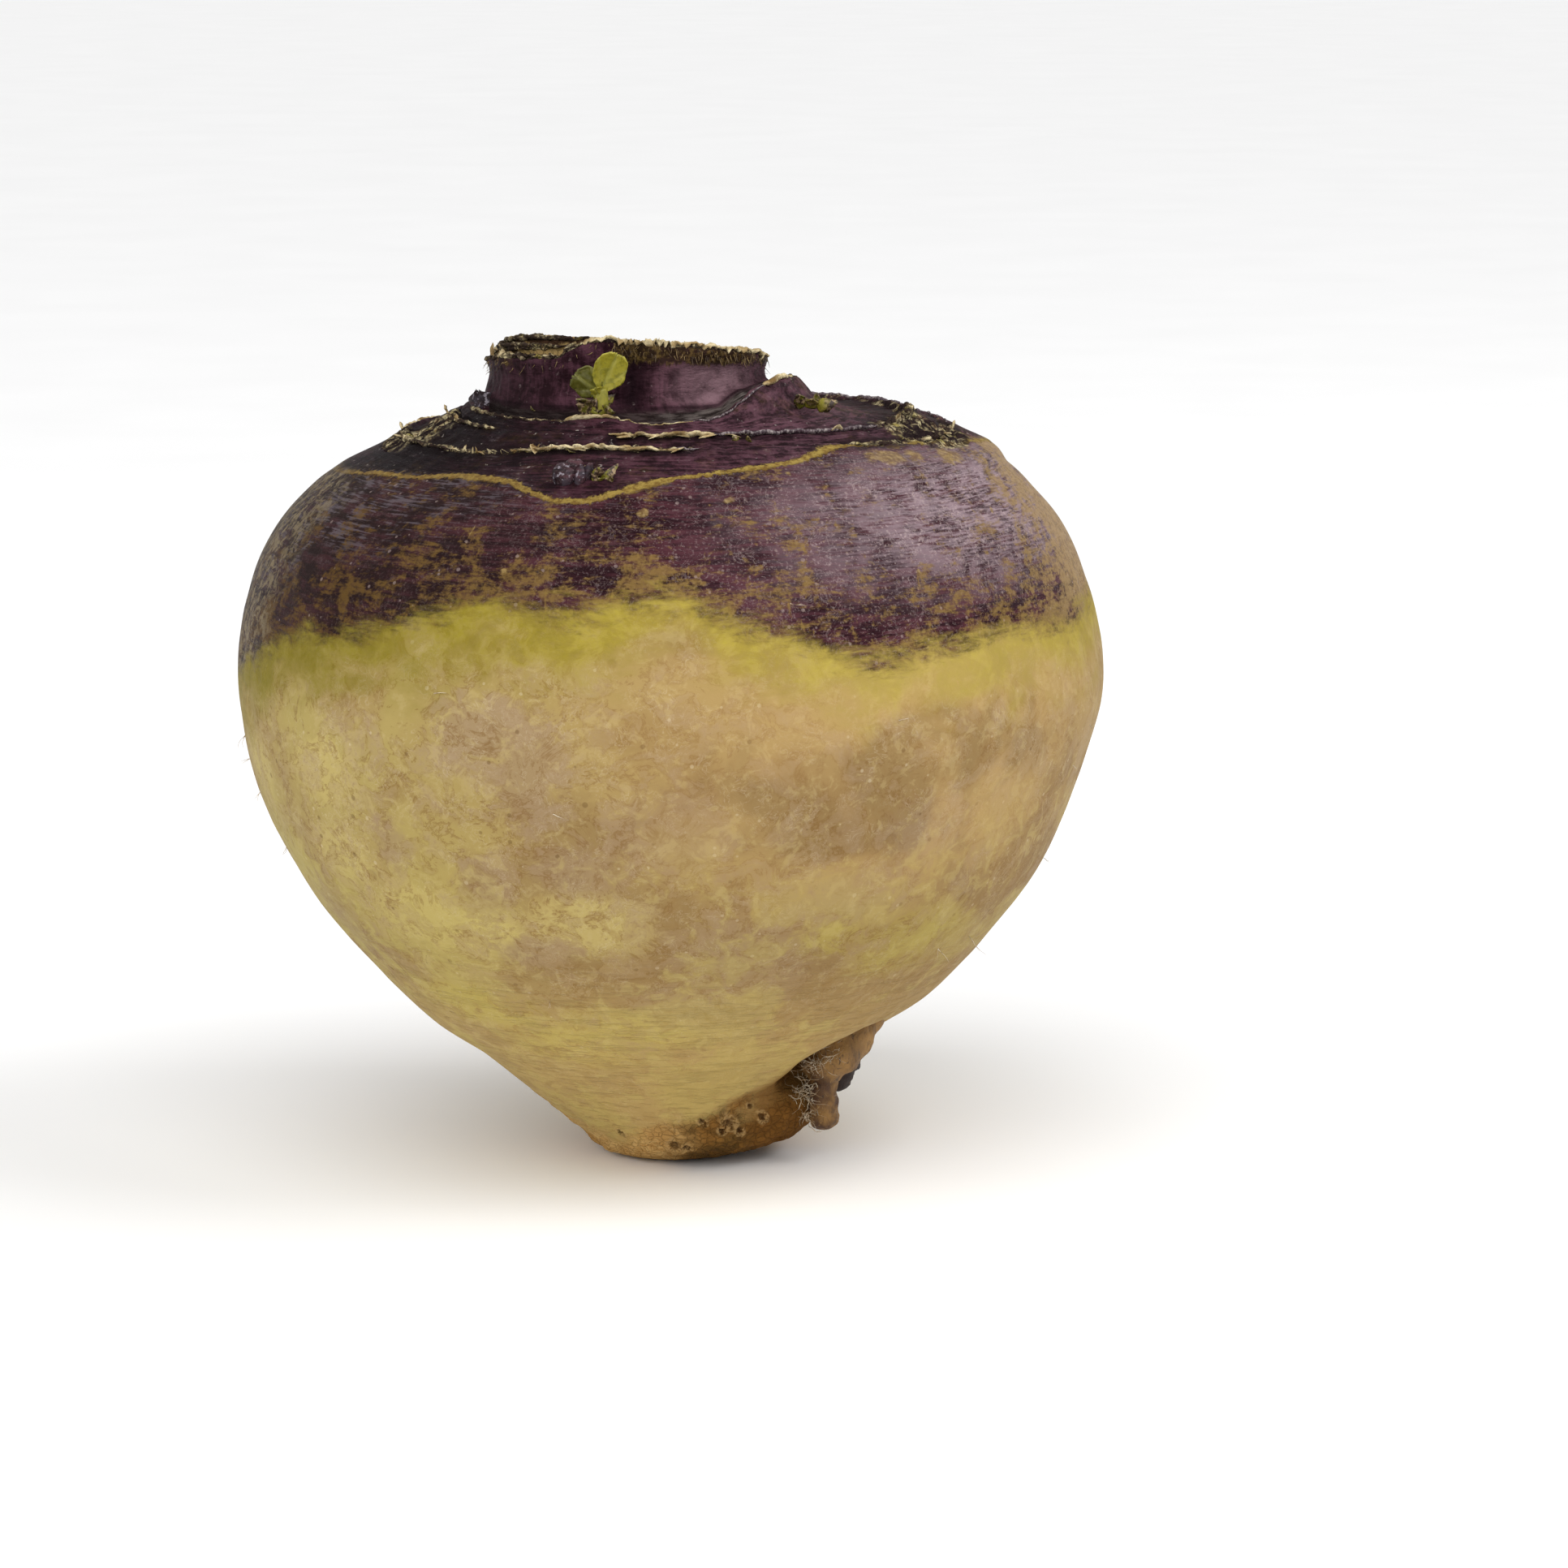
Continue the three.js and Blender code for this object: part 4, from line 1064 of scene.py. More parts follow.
crackle = cloud(tree, place, (1.7, 1.7, 1.5), detail=6, rough=0.72, warp=0.8)
# Along the left edge of the shoulder a dim grey is laid smoothly, with a tan crackle over it.
dusty = times(tree, mask(tree, crackle, 0.46, 0.58),
              mask(tree, added(tree, named(tree, "left_edge_grey"), middle, 0.8), 0.45, 1.0))
shoulder = laid(tree, shoulder, named(tree, "left_edge_grey"), 0.5, (58, 50, 50))
shoulder = laid(tree, shoulder, dusty, 0.80, (128, 114, 88))
purple_share = mask(tree, edge, -2.4, 2.4)
colour = mixed(tree, purple_share, buff, shoulder)
tell("with the purple shoulder", tree)

# %% Crown and terraces
scar = named(tree, "scar")
wobble = added(tree, -0.9, fine, 1.8)
inside = mask(tree, sums(tree, "ADD", scar, wobble), 0.2, -1.8)
crown_dust = cloud(tree, place, (2.6, 2.6, 1.8), detail=6, rough=0.72)
crown_lines = use(tree, streaks, Place=unrolled, Length=5.0, Width=0.55)["Amount"]
crown_light = mixed(tree, right_side, screen_colour(76, 44, 54), screen_colour(88, 58, 68))
crown = mixed(tree, mask(tree, sums(tree, "ADD", crown_lines, crown_dust), 0.86, 1.16),
              screen_colour(28, 12, 18), crown_light)
crown = laid(tree, crown, left, 0.96, (12, 7, 9))
# Silvery grey patches on the crown: partly dust on the wax, partly a painted sheen.
silver_dust_and_sheen = times(tree, mask(tree, crown_dust, 0.56, 0.70), mask(tree, crown_lines, 0.46, 0.60))
crown = laid(tree, crown, silver_dust_and_sheen, 0.48, (118, 108, 108))
# Small bright painted glints on the crown.
painted_glints = times(tree, mask(tree, fine, 0.63, 0.70), mask(tree, middle, 0.46, 0.54))
crown = laid(tree, crown, painted_glints, 0.75, (176, 168, 160))
colour = mixed(tree, times(tree, inside, 0.88), colour, crown)
# Painted shade in the grooves at the feet of the terraces and round the neck.
colour = laid(tree, colour, named(tree, "groove"), 0.8, (24, 15, 15))
colour = laid(tree, colour, named(tree, "shadow"), 0.9, (14, 8, 9))
inner = blended(tree, crown_lines, 0.40, 0.62, (34, 28, 26), (92, 84, 80))
colour = mixed(tree, named(tree, "inner"), colour, inner)
tell("with the crown", tree)

# %% Neck
neck_cloud = cloud(tree, place, (4.5, 4.5, 3.0), detail=6, rough=0.66, warp=0.4)
neck_lines = cloud(tree, unrolled, (1.2, 1.2, 5.0), detail=4, rough=0.62)
neck_tone = added(tree, neck_cloud, neck_lines, 0.45)
neck = blended(tree, neck_tone, 0.60, 0.86, (36, 14, 21), (88, 54, 66))
neck = laid(tree, neck, left, 0.60, (34, 24, 26))
# A lighter plum in the neck's hollow: painted light.
neck = laid(tree, neck, named(tree, "hollow"), mask(tree, neck_cloud, 0.16, 0.66), (130, 102, 109))
# Painted shade in the fold at the front of the neck and along its foot.
neck = laid(tree, neck, named(tree, "cleft"), 0.85, (18, 8, 12))
neck = laid(tree, neck, mask(tree, fine, 0.62, 0.74), 0.45, (132, 116, 116))
colour = mixed(tree, named(tree, "neck"), colour, neck)
below_rim = added(tree, named(tree, "below_rim"), neck_lines, 1.5)
colour = mixed(tree, times(tree, mask(tree, below_rim, 1.15, 1.45), 0.85), colour,
               blended(tree, fine, 0.45, 0.65, (44, 32, 20), (104, 84, 46)))
tell("with the neck", tree)

# %% The golden scar line
from_line = sums(tree, "ABSOLUTE", sums(tree, "ADD", scar, wobble))
uneven = added(tree, -0.70, patchy, 2.8)  # how wide the line is, from place to place
ink = mask(tree, added(tree, sums(tree, "ADD", named(tree, "scar_ink"), 0.55), patchy, -1.1), 0.10, 0.42)
line_share = times(tree, mask(tree, sums(tree, "DIVIDE", from_line, uneven), 1.15, 0.55), ink)
gold = blended(tree, fine, 0.38, 0.62, (108, 84, 38), (150, 128, 64))
gold = laid(tree, gold, left, 0.45, (102, 76, 46))
colour = mixed(tree, times(tree, line_share, 0.92), colour, gold)
tell("with the scar line", tree)

# %% Cork on the lips, spots and ring scar
crust = use(tree, cork, Place=place)
lip_share = mask(tree, added(tree, named(tree, "lip"), fine, 0.9), 0.85, 1.15)
spot_share = mask(tree, added(tree, named(tree, "spot"), patchy, 2.4), 2.30, 1.75)
crust_share = mask(tree, added(tree, named(tree, "crust"), middle, 1.2), 0.95, 1.30)
cork_share = sums(tree, "MAXIMUM", lip_share, crust_share)
dim_crust = mixed(tree, mask(tree, patchy, 0.45, 0.62), screen_colour(38, 29, 29), crust["Colour"])
colour = mixed(tree, times(tree, cork_share, 0.9), colour, dim_crust)
colour = mixed(tree, times(tree, spot_share, 0.65), colour,
               blended(tree, fine, 0.4, 0.6, (112, 88, 52), (158, 134, 84)))
tell("with the cork", tree)

# %% The cut
heart = named(tree, "heart")  # how far a place lies from the middle of the cut, in millimetres
ring_noise = cloud(tree, place, (3, 3, 3), detail=4)
growth = put(tree, "ShaderNodeMath", {0: added(tree, times(tree, heart, 1.5), middle, 9.0)},
             operation="SINE").outputs[0]
flesh = blended(tree, growth, -0.8, 1.0, (140, 112, 68), (162, 137, 90))
flesh = laid(tree, flesh, mask(tree, patchy, 0.42, 0.66), 0.65, (106, 80, 48))
flesh = laid(tree, flesh, mask(tree, fine, 0.50, 0.64), 0.5, (182, 160, 116))
flesh = laid(tree, flesh, mask(tree, ring_noise, 0.40, 0.62), mask(tree, heart, 5.0, 1.0), (96, 72, 42))
stalk_arcs = mask(tree, added(tree, growth, fine, 0.5), -0.3, 0.7)
stalk_flesh = mixed(tree, stalk_arcs, screen_colour(58, 40, 28), screen_colour(146, 122, 78))
flesh = mixed(tree, mask(tree, heart, 16.2, 17.4), flesh, stalk_flesh)
colour = mixed(tree, named(tree, "cut"), colour, flesh)
tell("with the cut", tree)

# %% The brown taproot end and its pits
brown_share = mask(tree, added(tree, named(tree, "base"), middle, 0.8), 0.75, 1.25)
brown_share = sums(tree, "MAXIMUM", brown_share, mask(tree, named(tree, "pocket"), 0.35, 0.95))
bark = blended(tree, patchy, 0.42, 0.62, (190, 146, 86), (224, 186, 122))
dark_bark = blended(tree, patchy, 0.36, 0.66, (70, 42, 15), (132, 90, 40))
bark = mixed(tree, mask(tree, right_side, 0.03, 0.60), bark, dark_bark)
colour = mixed(tree, times(tree, brown_share, 0.9), colour, bark)
# Painted shade round the foot of the side roots.
stub_shade = mask(tree, added(tree, named(tree, "stub_shade"), middle, 0.5), 0.35, 0.95)
colour = laid(tree, colour, stub_shade, 0.80, (112, 74, 32))
pit = named(tree, "pit")
pit_rim = times(tree, mask(tree, pit, 1.3, 0.9), mask(tree, fine, 0.44, 0.56))
colour = laid(tree, colour, pit_rim, 0.6, (186, 152, 102))
pit_dark = mask(tree, added(tree, pit, fine, 1.8), 1.70, 1.20)
colour = laid(tree, colour, pit_dark, 0.75, (66, 40, 18))
tell("with the taproot end", tree)

# %% Put the skin's finish together
wire(tree, colour, skin_shader.inputs["Base Color"])
skin_shader.inputs["Specular IOR Level"].default_value = 0.03
roughness = added(tree, 0.40, fine, 0.25)
roughness = put(tree, "ShaderNodeMix", {0: purple_share, 2: roughness, 3: coat["Roughness"]}).outputs[0]
rough_share = sums(tree, "MAXIMUM", cork_share, sums(tree, "MAXIMUM", named(tree, "cut"), brown_share))
roughness = put(tree, "ShaderNodeMix", {0: rough_share, 2: roughness, 3: crust["Roughness"]}).outputs[0]
wire(tree, roughness, skin_shader.inputs["Roughness"])
height = put(tree, "ShaderNodeMix", {0: purple_share, 2: buff_height, 3: coat["Height"]}).outputs[0]
height = added(tree, height, times(tree, crust["Height"], rough_share), 0.7)
height = added(tree, height, line_share, 0.18)
height = added(tree, height, times(tree, crown_dust, inside), 0.35)
relief(tree, height, skin_shader)
tell("whole skin", tree)

# %% [markdown]
# ## Pulling a ring along a path
#
# Side roots, hairs, strips of cork and the sprout's stem are all drawn-out shapes. Each starts as a small
# circle whose edges are extruded from station to station. The new ring is moved by the matrix that leads
# from one station to the next, so it turns and tapers as it goes. A curve with a bevel would be quicker to
# write, but its section could only be scaled, not flattened on one side.

# %% Sweep
def cross_section(centre, ahead, up, across, tall):
    """The matrix that lays a unit circle across a path."""
    ahead = ahead.normalized()
    side = ahead.cross(up).normalized()
    matrix = Matrix((side * across, side.cross(ahead) * tall, ahead)).transposed().to_4x4()
    matrix.translation = centre
    return matrix


def sweep(mesh, stations, sides=8):
    """A closed tube through stations of (centre, up, half width, half height), in millimetres."""
    centres = [Vector(station[0]) for station in stations]
    frames = []
    for index, (centre, up, across, tall) in enumerate(stations):
        ahead = centres[min(index + 1, len(centres) - 1)] - centres[max(index - 1, 0)]
        frames.append(cross_section(centres[index], ahead, Vector(up), across, tall))
    ring = bmesh.ops.create_circle(mesh, cap_ends=True, segments=sides, radius=1, matrix=frames[0])["verts"]
    edges = list({edge for vert in ring for edge in vert.link_edges})
    made = list(ring)
    for before, after in zip(frames, frames[1:]):
        grown = bmesh.ops.extrude_edge_only(mesh, edges=edges)["geom"]
        ring = {part for part in grown if isinstance(part, bmesh.types.BMVert)}
        edges = [part for part in grown if isinstance(part, bmesh.types.BMEdge) and set(part.verts) <= ring]
        bmesh.ops.transform(mesh, matrix=after @ before.inverted(), verts=list(ring))
        made += ring
    bmesh.ops.contextual_create(mesh, geom=edges)
    return made


def along(points, share):
    """A point at a share of the way along a smooth curve through points."""
    place = min(share, 0.999999) * (len(points) - 1)
    return on_span(curve_span(points, int(place)), place - int(place))


def between(values, share):
    """A value read from evenly spaced values."""
    place = min(share, 0.999999) * (len(values) - 1)
    low = int(place)
    return values[low] + (values[low + 1] - values[low]) * (place - low)

# %% Finding the skin
skin_faces = BVHTree.FromObject(root, bpy.context.evaluated_depsgraph_get())


def on_skin(point):
    """The nearest place on the sculpted skin and the way out of it, in millimetres."""
    place, normal, _, _ = skin_faces.find_nearest(Vector(point) * MM)
    return place / MM, normal


def crown_spot(x, y, height):
    return Vector((x, y, DOME_TOP + height))


def to_metres(mesh):
    bmesh.ops.recalc_face_normals(mesh, faces=mesh.faces)
    bmesh.ops.scale(mesh, verts=mesh.verts, vec=(MM, MM, MM))


print("out of the skin at the front:", on_skin((0, -60, 60))[1])

# %% [markdown]
# ## Side roots
#
# Under the right flank, three thin roots were broken off short. They are knobbly stubs with a fibrous skin
# that is darker in its folds. They start inside the pocket of the belly, so no seam shows.

# %% Finish of the side roots
stub_finish, tree, shader = new_material("side_root")
place = millimetres(tree)
lobes = cloud(tree, place, (3.4, 3.4, 4.2), detail=3)
strands = cloud(tree, place, (0.5, 0.5, 1.5), detail=5, rough=0.7, warp=0.8)
colour = blended(tree, lobes, 0.40, 0.66, (78, 48, 20), (144, 106, 54))
stub_level = put(tree, "ShaderNodeSeparateXYZ", {0: place}).outputs[2]
colour = laid(tree, colour, mask(tree, stub_level, 11, 18), 0.45, (176, 134, 72))
# Painted shade: the lower parts of the stubs that lie behind are darkened.
shade_behind = mask(tree, put(tree, "ShaderNodeSeparateXYZ", {0: place}).outputs[1], -6.0, -2.0)
colour = mixed(tree, times(tree, shade_behind, mask(tree, stub_level, 17, 13)), colour, screen_colour(44, 26, 18))
colour = laid(tree, colour, mask(tree, strands, 0.58, 0.72), 0.55, (182, 142, 84))
colour = laid(tree, colour, mask(tree, strands, 0.46, 0.32), 0.80, (38, 22, 12))
wire(tree, colour, shader.inputs["Base Color"])
wire(tree, added(tree, 0.5, strands, 0.3), shader.inputs["Roughness"])
relief(tree, times(tree, strands, 0.35), shader)
tell("side roots", tree)

# %% Side roots
ROOT_STUBS = [
    ([(28.2, -3, 21.8), (26, -6.5, 19), (23.8, -9.2, 16.4), (22, -9.8, 14.2)], [3.4, 4.0, 4.0, 3.2]),
    ([(21.7, -8.4, 15), (22, -9.6, 10.5), (22.3, -9.6, 6.6)], [2.1, 2.3, 2.2]),
    ([(26.5, 1.5, 19), (25.4, 0.5, 13.4), (24.2, -0.5, 10)], [2.8, 2.5, 2.0]),
]
STUB_STEPS, TIP_STEPS, STUB_SIDES = 26, 7, 32

stubs = bmesh.new()
for path, radii in ROOT_STUBS:
    path = [Vector(point) for point in path]
    stations = []
    for step in range(STUB_STEPS + 1):
        share = step / STUB_STEPS
        swell = between(radii, share) * (1 + 0.06 * math.sin(19 * share + len(stubs.verts)))
        stations.append((along(path, share), (0, -1, 0.2), swell, swell))
    ahead = (path[-1] - path[-2]).normalized()
    for step in range(1, TIP_STEPS + 1):
        turn = math.pi / 2 * min(step / TIP_STEPS, 0.97)
        tip = radii[-1] * math.cos(turn)
        stations.append((path[-1] + ahead * radii[-1] * 0.9 * math.sin(turn), (0, -1, 0.2), tip, tip))
    sweep(stubs, stations, STUB_SIDES)
stubs.normal_update()
for vert in stubs.verts:
    rough = 0.28 * noise.noise(vert.co / 2.3) + 0.10 * noise.noise(vert.co / 0.8)
    folds = noise.noise(Vector((vert.co.x / 3, vert.co.y / 3, vert.co.z / 1.3)))
    creases = 0.22 * smooth(0.25, 0.55, abs(folds))
    vert.co += vert.normal * (rough - creases)
to_metres(stubs)
finish_piece(stubs, "side_roots", stub_finish, "root")

# %% [markdown]
# ## Thin plates
#
# Young leaves, bud scales, shreds of bark and cork flakes are all thin plates with a foot and a tip. One
# helper makes them: a small grid is narrowed to an outline, cupped across, curled along and given a
# thickness. Only the numbers differ from a round soft leaf to a hard splinter.

# %% Blade
OUTLINES = {
    # half widths, evenly spaced from foot to tip, as a share of the widest
    "leaf": [0.16, 0.34, 0.72, 0.94, 1.0, 1.0, 0.97, 0.84, 0.42],
    "scale": [0.75, 1.0, 0.92, 0.70, 0.42, 0.10],
    "splinter": [1.0, 0.8, 0.62, 0.40, 0.08],
    "flake": [0.6, 1.0, 0.9, 1.0, 0.75, 0.2],
}


def blade(mesh, outline, length, width, thickness, matrix, curl=0.0, cup=0.0, ragged=0.0, seed=0,
          steps=(6, 10), form=None):
    """A thin plate that stands up from its foot and faces the front, then is placed by the matrix."""
    made = bmesh.ops.create_grid(mesh, x_segments=steps[0], y_segments=steps[1], size=0.5)["verts"]
    for vert in made:
        across, up = vert.co.x * 2, vert.co.y + 0.5
        uneven = noise.noise(Vector((across * 1.5, up * 5, seed * 7.3)))
        edge = between(OUTLINES[outline], up) * (1 + ragged * uneven)
        turn = curl * up
        reach = length / curl * math.sin(turn) if abs(curl) > 0.01 else length * up
        lean = length / curl * (1 - math.cos(turn)) if abs(curl) > 0.01 else 0.0
        bump = form(across, up) if form else 0.0
        spread = Vector((across * edge * width / 2, -lean + cup * (across * edge) ** 2 + bump, reach))
        spread.z *= 1 + ragged * 0.5 * noise.noise(Vector((across * 3, seed * 3.1, up)))
        vert.co = spread
    faces = list({face for vert in made for face in vert.link_faces})
    walls = bmesh.ops.solidify(mesh, geom=faces, thickness=thickness)["geom"]
    made += [part for part in walls if isinstance(part, bmesh.types.BMVert) and part not in set(made)]
    bmesh.ops.transform(mesh, matrix=matrix, verts=made)
    return made


def standing(foot, up, facing):
    """The matrix that puts a blade's foot at a point, its length along up and its face towards facing."""
    up = Vector(up).normalized()
    side = up.cross(Vector(facing)).normalized()
    matrix = Matrix((side, up.cross(side), up)).transposed().to_4x4()
    matrix.translation = Vector(foot)
    return matrix


print("outlines:", list(OUTLINES))

# %% [markdown]
# ## The sprout
#
# A young shoot stands in the groove in front of the neck: a pale stem with two round leaves and a small one
# at its top, and ruffled scale leaves round its foot. The blades are soft, so they bulge along their veins
# and ripple between them. Each leaf carries its own tone and how near each point lies to a vein, which the
# finish reads to make the veins pale.

# %% Finish of the young leaves
leaf_finish, tree, shader = new_material("young_leaf")
place = millimetres(tree)
tone = named(tree, "tone")
spots = cloud(tree, place, (0.9, 0.9, 0.9), detail=4, rough=0.6)
colour = mixed(tree, tone, screen_colour(80, 78, 14), screen_colour(162, 152, 44))
colour = laid(tree, colour, mask(tree, spots, 0.46, 0.62), 0.55, (98, 98, 18))
colour = laid(tree, colour, named(tree, "vein"), 0.55, (176, 174, 92))
burnt = times(tree, named(tree, "tip"), mask(tree, spots, 0.38, 0.56))
dry = blended(tree, cloud(tree, place, (0.5, 0.5, 0.5), detail=3), 0.46, 0.60, (54, 36, 26), (160, 136, 104))
colour = mixed(tree, times(tree, burnt, 0.95), colour, dry)
wire(tree, colour, shader.inputs["Base Color"])
wire(tree, added(tree, 0.32, spots, 0.25), shader.inputs["Roughness"])
relief(tree, times(tree, spots, 0.14), shader)
shader.inputs["Subsurface Weight"].default_value = 0.12
shader.inputs["Subsurface Radius"].default_value = (0.0012, 0.0016, 0.0005)
tell("young leaves", tree)

# %% Leaf blades and their tones
LEAF_THICKNESS = 0.28


def paint_new(mesh, made, **tones):
    """Sets named values on the points just made."""
    for name, value in tones.items():
        layer = mesh.verts.layers.float.get(name) or mesh.verts.layers.float.new(name)
        for vert in made:
            vert[layer] = value


def veins(across, up):
    """How near a place on a leaf lies to the midrib or to a side vein, from 0 to 1."""
    midrib = math.exp(-(across / (0.16 - 0.09 * up)) ** 2)
    side = math.sin(9.5 * (up - 0.55 * abs(across)))
    return max(midrib, 0.6 * smooth(0.80, 1.0, side) * smooth(0.05, 0.3, abs(across)))


def leafy(mesh, outline, length, width, foot, up, facing, tone, tip=0.0, **shape):
    """A blade with veins, whose points know their tone, vein and burnt tip."""
    for name in ("tone", "vein", "tip"):
        if name not in mesh.verts.layers.float:
            mesh.verts.layers.float.new(name)
    matrix = standing(foot, up, facing)
    made = blade(mesh, outline, length, width, LEAF_THICKNESS, matrix, **shape)
    back = matrix.inverted()
    tone_layer, vein_layer, tip_layer = (mesh.verts.layers.float[name] for name in ("tone", "vein", "tip"))
    for vert in made:
        flat = back @ vert.co
        height = max(0.0, min(1.0, flat.z / length))
        edge = max(0.1, between(OUTLINES[outline], height) * width / 2)
        vert[tone_layer] = tone
        vert[vein_layer] = veins(flat.x / edge, height) if outline == "leaf" else 0.0
        vert[tip_layer] = tip * smooth(-0.5, 0.5, height)


def puffed(across, up):
    return 0.30 * veins(across, up) - 0.12 + 0.10 * math.sin(7 * up + 3 * across)


print("a leaf's midrib, from 0 to 1:", veins(0, 0.5))

# %% Sprout
SPROUT_FOOT, SPROUT_TOP = crown_spot(-9.7, -19.9, 0.75), crown_spot(-9.2, -20.6, 4.3)

shoot = bmesh.new()
LEAVES = [
    # outline, length, width, share of the way up the stem, up, facing, tone, burnt tip, curl, cup, ragged
    ("leaf", 6.8, 4.6, 0.80, (0.36, -0.10, 0.94), (0.20, -1, 0.10), 1.0, 0.0, 0.50, -0.50, 0.12),
    ("leaf", 4.9, 4.3, 0.80, (-0.74, -0.16, 0.62), (-0.25, -1, 0.15), 0.0, 0.1, 0.35, 0.45, 0.14),
    ("leaf", 2.6, 1.8, 0.55, (-0.25, -0.45, 0.85), (-0.1, -1, 0.3), 0.8, 0.0, 0.5, 0.35, 0.15),
    ("scale", 3.2, 2.1, 0.15, (0.85, -0.35, 0.55), (0.3, -1, -0.3), 0.45, 1.2, -0.9, 0.3, 0.30),
    ("scale", 4.3, 3.0, 0.08, (-0.80, -0.3, 0.66), (-0.3, -1, -0.2), 0.10, 1.6, 0.7, 0.3, 0.45),
    ("scale", 4.0, 2.6, 0.10, (-0.95, -0.35, 0.25), (-0.2, -1, 0.3), 0.10, 1.6, 0.8, 0.3, 0.45),
    ("scale", 2.1, 1.9, 0.25, (-0.45, -0.5, 0.8), (-0.2, -1, 0.3), 0.30, 1.2, 0.8, 0.3, 0.35),
    ("scale", 2.2, 1.5, 0.35, (0.5, -0.45, 0.8), (0.2, -1, 0.3), 0.75, 0.3, -0.8, 0.3, 0.25),
    ("scale", 3.6, 2.4, 0.04, (0.90, -0.55, 0.30), (0, -1, -0.4), 0.15, 1.5, 0.7, 0.3, 0.45),
    ("scale", 1.8, 1.8, 0.02, (0.1, -0.85, 0.55), (0, -1, -0.6), 0.25, 1.3, 0.7, 0.3, 0.35),
    ("scale", 1.7, 1.3, 0.00, (0.45, -0.9, 0.1), (0, -0.6, 0.8), 0.25, 1.3, 0.7, 0.3, 0.35),
    ("scale", 2.6, 1.6, 0.00, (-0.35, -0.75, 0.45), (0, -0.6, 0.8), 0.10, 1.5, 0.9, 0.3, 0.45),
]
for number, (outline, long, wide, start, up, facing, tone, tip, curl, cup, ragged) in enumerate(LEAVES):
    big = outline == "leaf"
    leafy(shoot, outline, long, wide, SPROUT_FOOT.lerp(SPROUT_TOP, start), up, facing, tone, tip,
          curl=curl, cup=cup, ragged=ragged, seed=number, steps=(18, 24) if big else (8, 12),
          form=puffed if big else None)
STEM_STEPS, STEM_SIDES = 12, 14
stem = []
for step in range(STEM_STEPS + 1):
    share = step / STEM_STEPS
    thick = 1.25 - 0.45 * share
    stem.append((SPROUT_FOOT.lerp(SPROUT_TOP, share) + Vector((0.25 * math.sin(3 * share), 0, 0)),
                 (0, -1, 0), thick, thick * 0.8))
paint_new(shoot, sweep(shoot, stem, STEM_SIDES), tone=0.85, vein=0.35)
for vert in shoot.verts:
    vert.co += Vector((0.08, 0.08, 0.0)) * noise.noise(vert.co / 0.7)
to_metres(shoot)
finish_piece(shoot, "sprout_leaves", leaf_finish, "sprout", slot="leaf_green")

# %% Side bud
bud = bmesh.new()
BUD_AT = crown_spot(21.1, -11.5, 1.6)
BUD_SCALES = [
    # foot from the bud's place, up, facing, length, width, tone, burnt tip, curl
    ((-2.0, 0.1, -0.7), (-0.45, -0.35, 0.85), (0, -1, 0.2), 2.5, 2.2, 0.05, 1.4, 0.6),
    ((-0.9, -0.2, -0.9), (0.10, -0.45, 0.85), (0, -1, 0.3), 2.5, 2.2, 0.40, 0.8, 0.9),
    ((0.1, -0.4, -0.9), (0.45, -0.65, 0.50), (0, -1, 0.5), 2.3, 2.1, 0.60, 0.6, -0.9),
    ((0.7, -0.1, -0.7), (0.95, -0.20, 0.35), (0, -1, 0.4), 2.4, 1.9, 0.15, 1.2, -0.6),
    ((-0.2, 0.4, -0.8), (0.10, 0.10, 1.0), (0, -1, 0), 2.0, 1.8, 0.10, 1.0, 0.3),
    ((0.4, 0.0, -0.9), (0.60, 0.10, 0.75), (0, -1, 0.4), 1.8, 1.4, 0.30, 1.0, 0.9),
]
for number, (offset, up, facing, long, wide, tone, tip, curl) in enumerate(BUD_SCALES):
    leafy(bud, "scale", long, wide, BUD_AT + Vector(offset), up, facing, tone, tip, curl=curl, cup=0.45,
          ragged=0.25, seed=20 + number, steps=(8, 12))
to_metres(bud)
finish_piece(bud, "side_bud_scales", leaf_finish, "side_bud", slot="bud_green")

# %% [markdown]
# ## The dormant bud
#
# On the front of the shoulder sits a bud that never grew: a smooth dark knob of overlapping scales, shiny
# where it bulges and flecked with painted glints, with burnt dry scales on its right. Squashed balls that
# overlap give its bulges, and a noise roughens them. A dark flap of the collar's skin, far on the left, is
# part of the same piece.

# %% Finish of the dark knob
knob_finish, tree, shader = new_material("dormant_bud")
place = millimetres(tree)
coat = use(tree, purple, Place=place, Unrolled=place, Bloom=0.1, Dark=0.9)
fog = cloud(tree, place, (1.5, 1.5, 1.2), detail=4)
colour = laid(tree, coat["Colour"], mask(tree, fog, 0.46, 0.64), 0.6, (64, 58, 66))
# Small bright painted glints on the knob.
painted_glints = cloud(tree, place, (0.6, 0.6, 0.5), detail=3)
colour = laid(tree, colour, mask(tree, painted_glints, 0.58, 0.66), 0.7, (150, 142, 150))
wire(tree, colour, shader.inputs["Base Color"])
wire(tree, added(tree, 0.22, fog, 0.3), shader.inputs["Roughness"])
shader.inputs["Specular IOR Level"].default_value = 0.12
relief(tree, added(tree, times(tree, coat["Height"], 0.3), fog, 0.15), shader)
tell("dormant bud", tree)

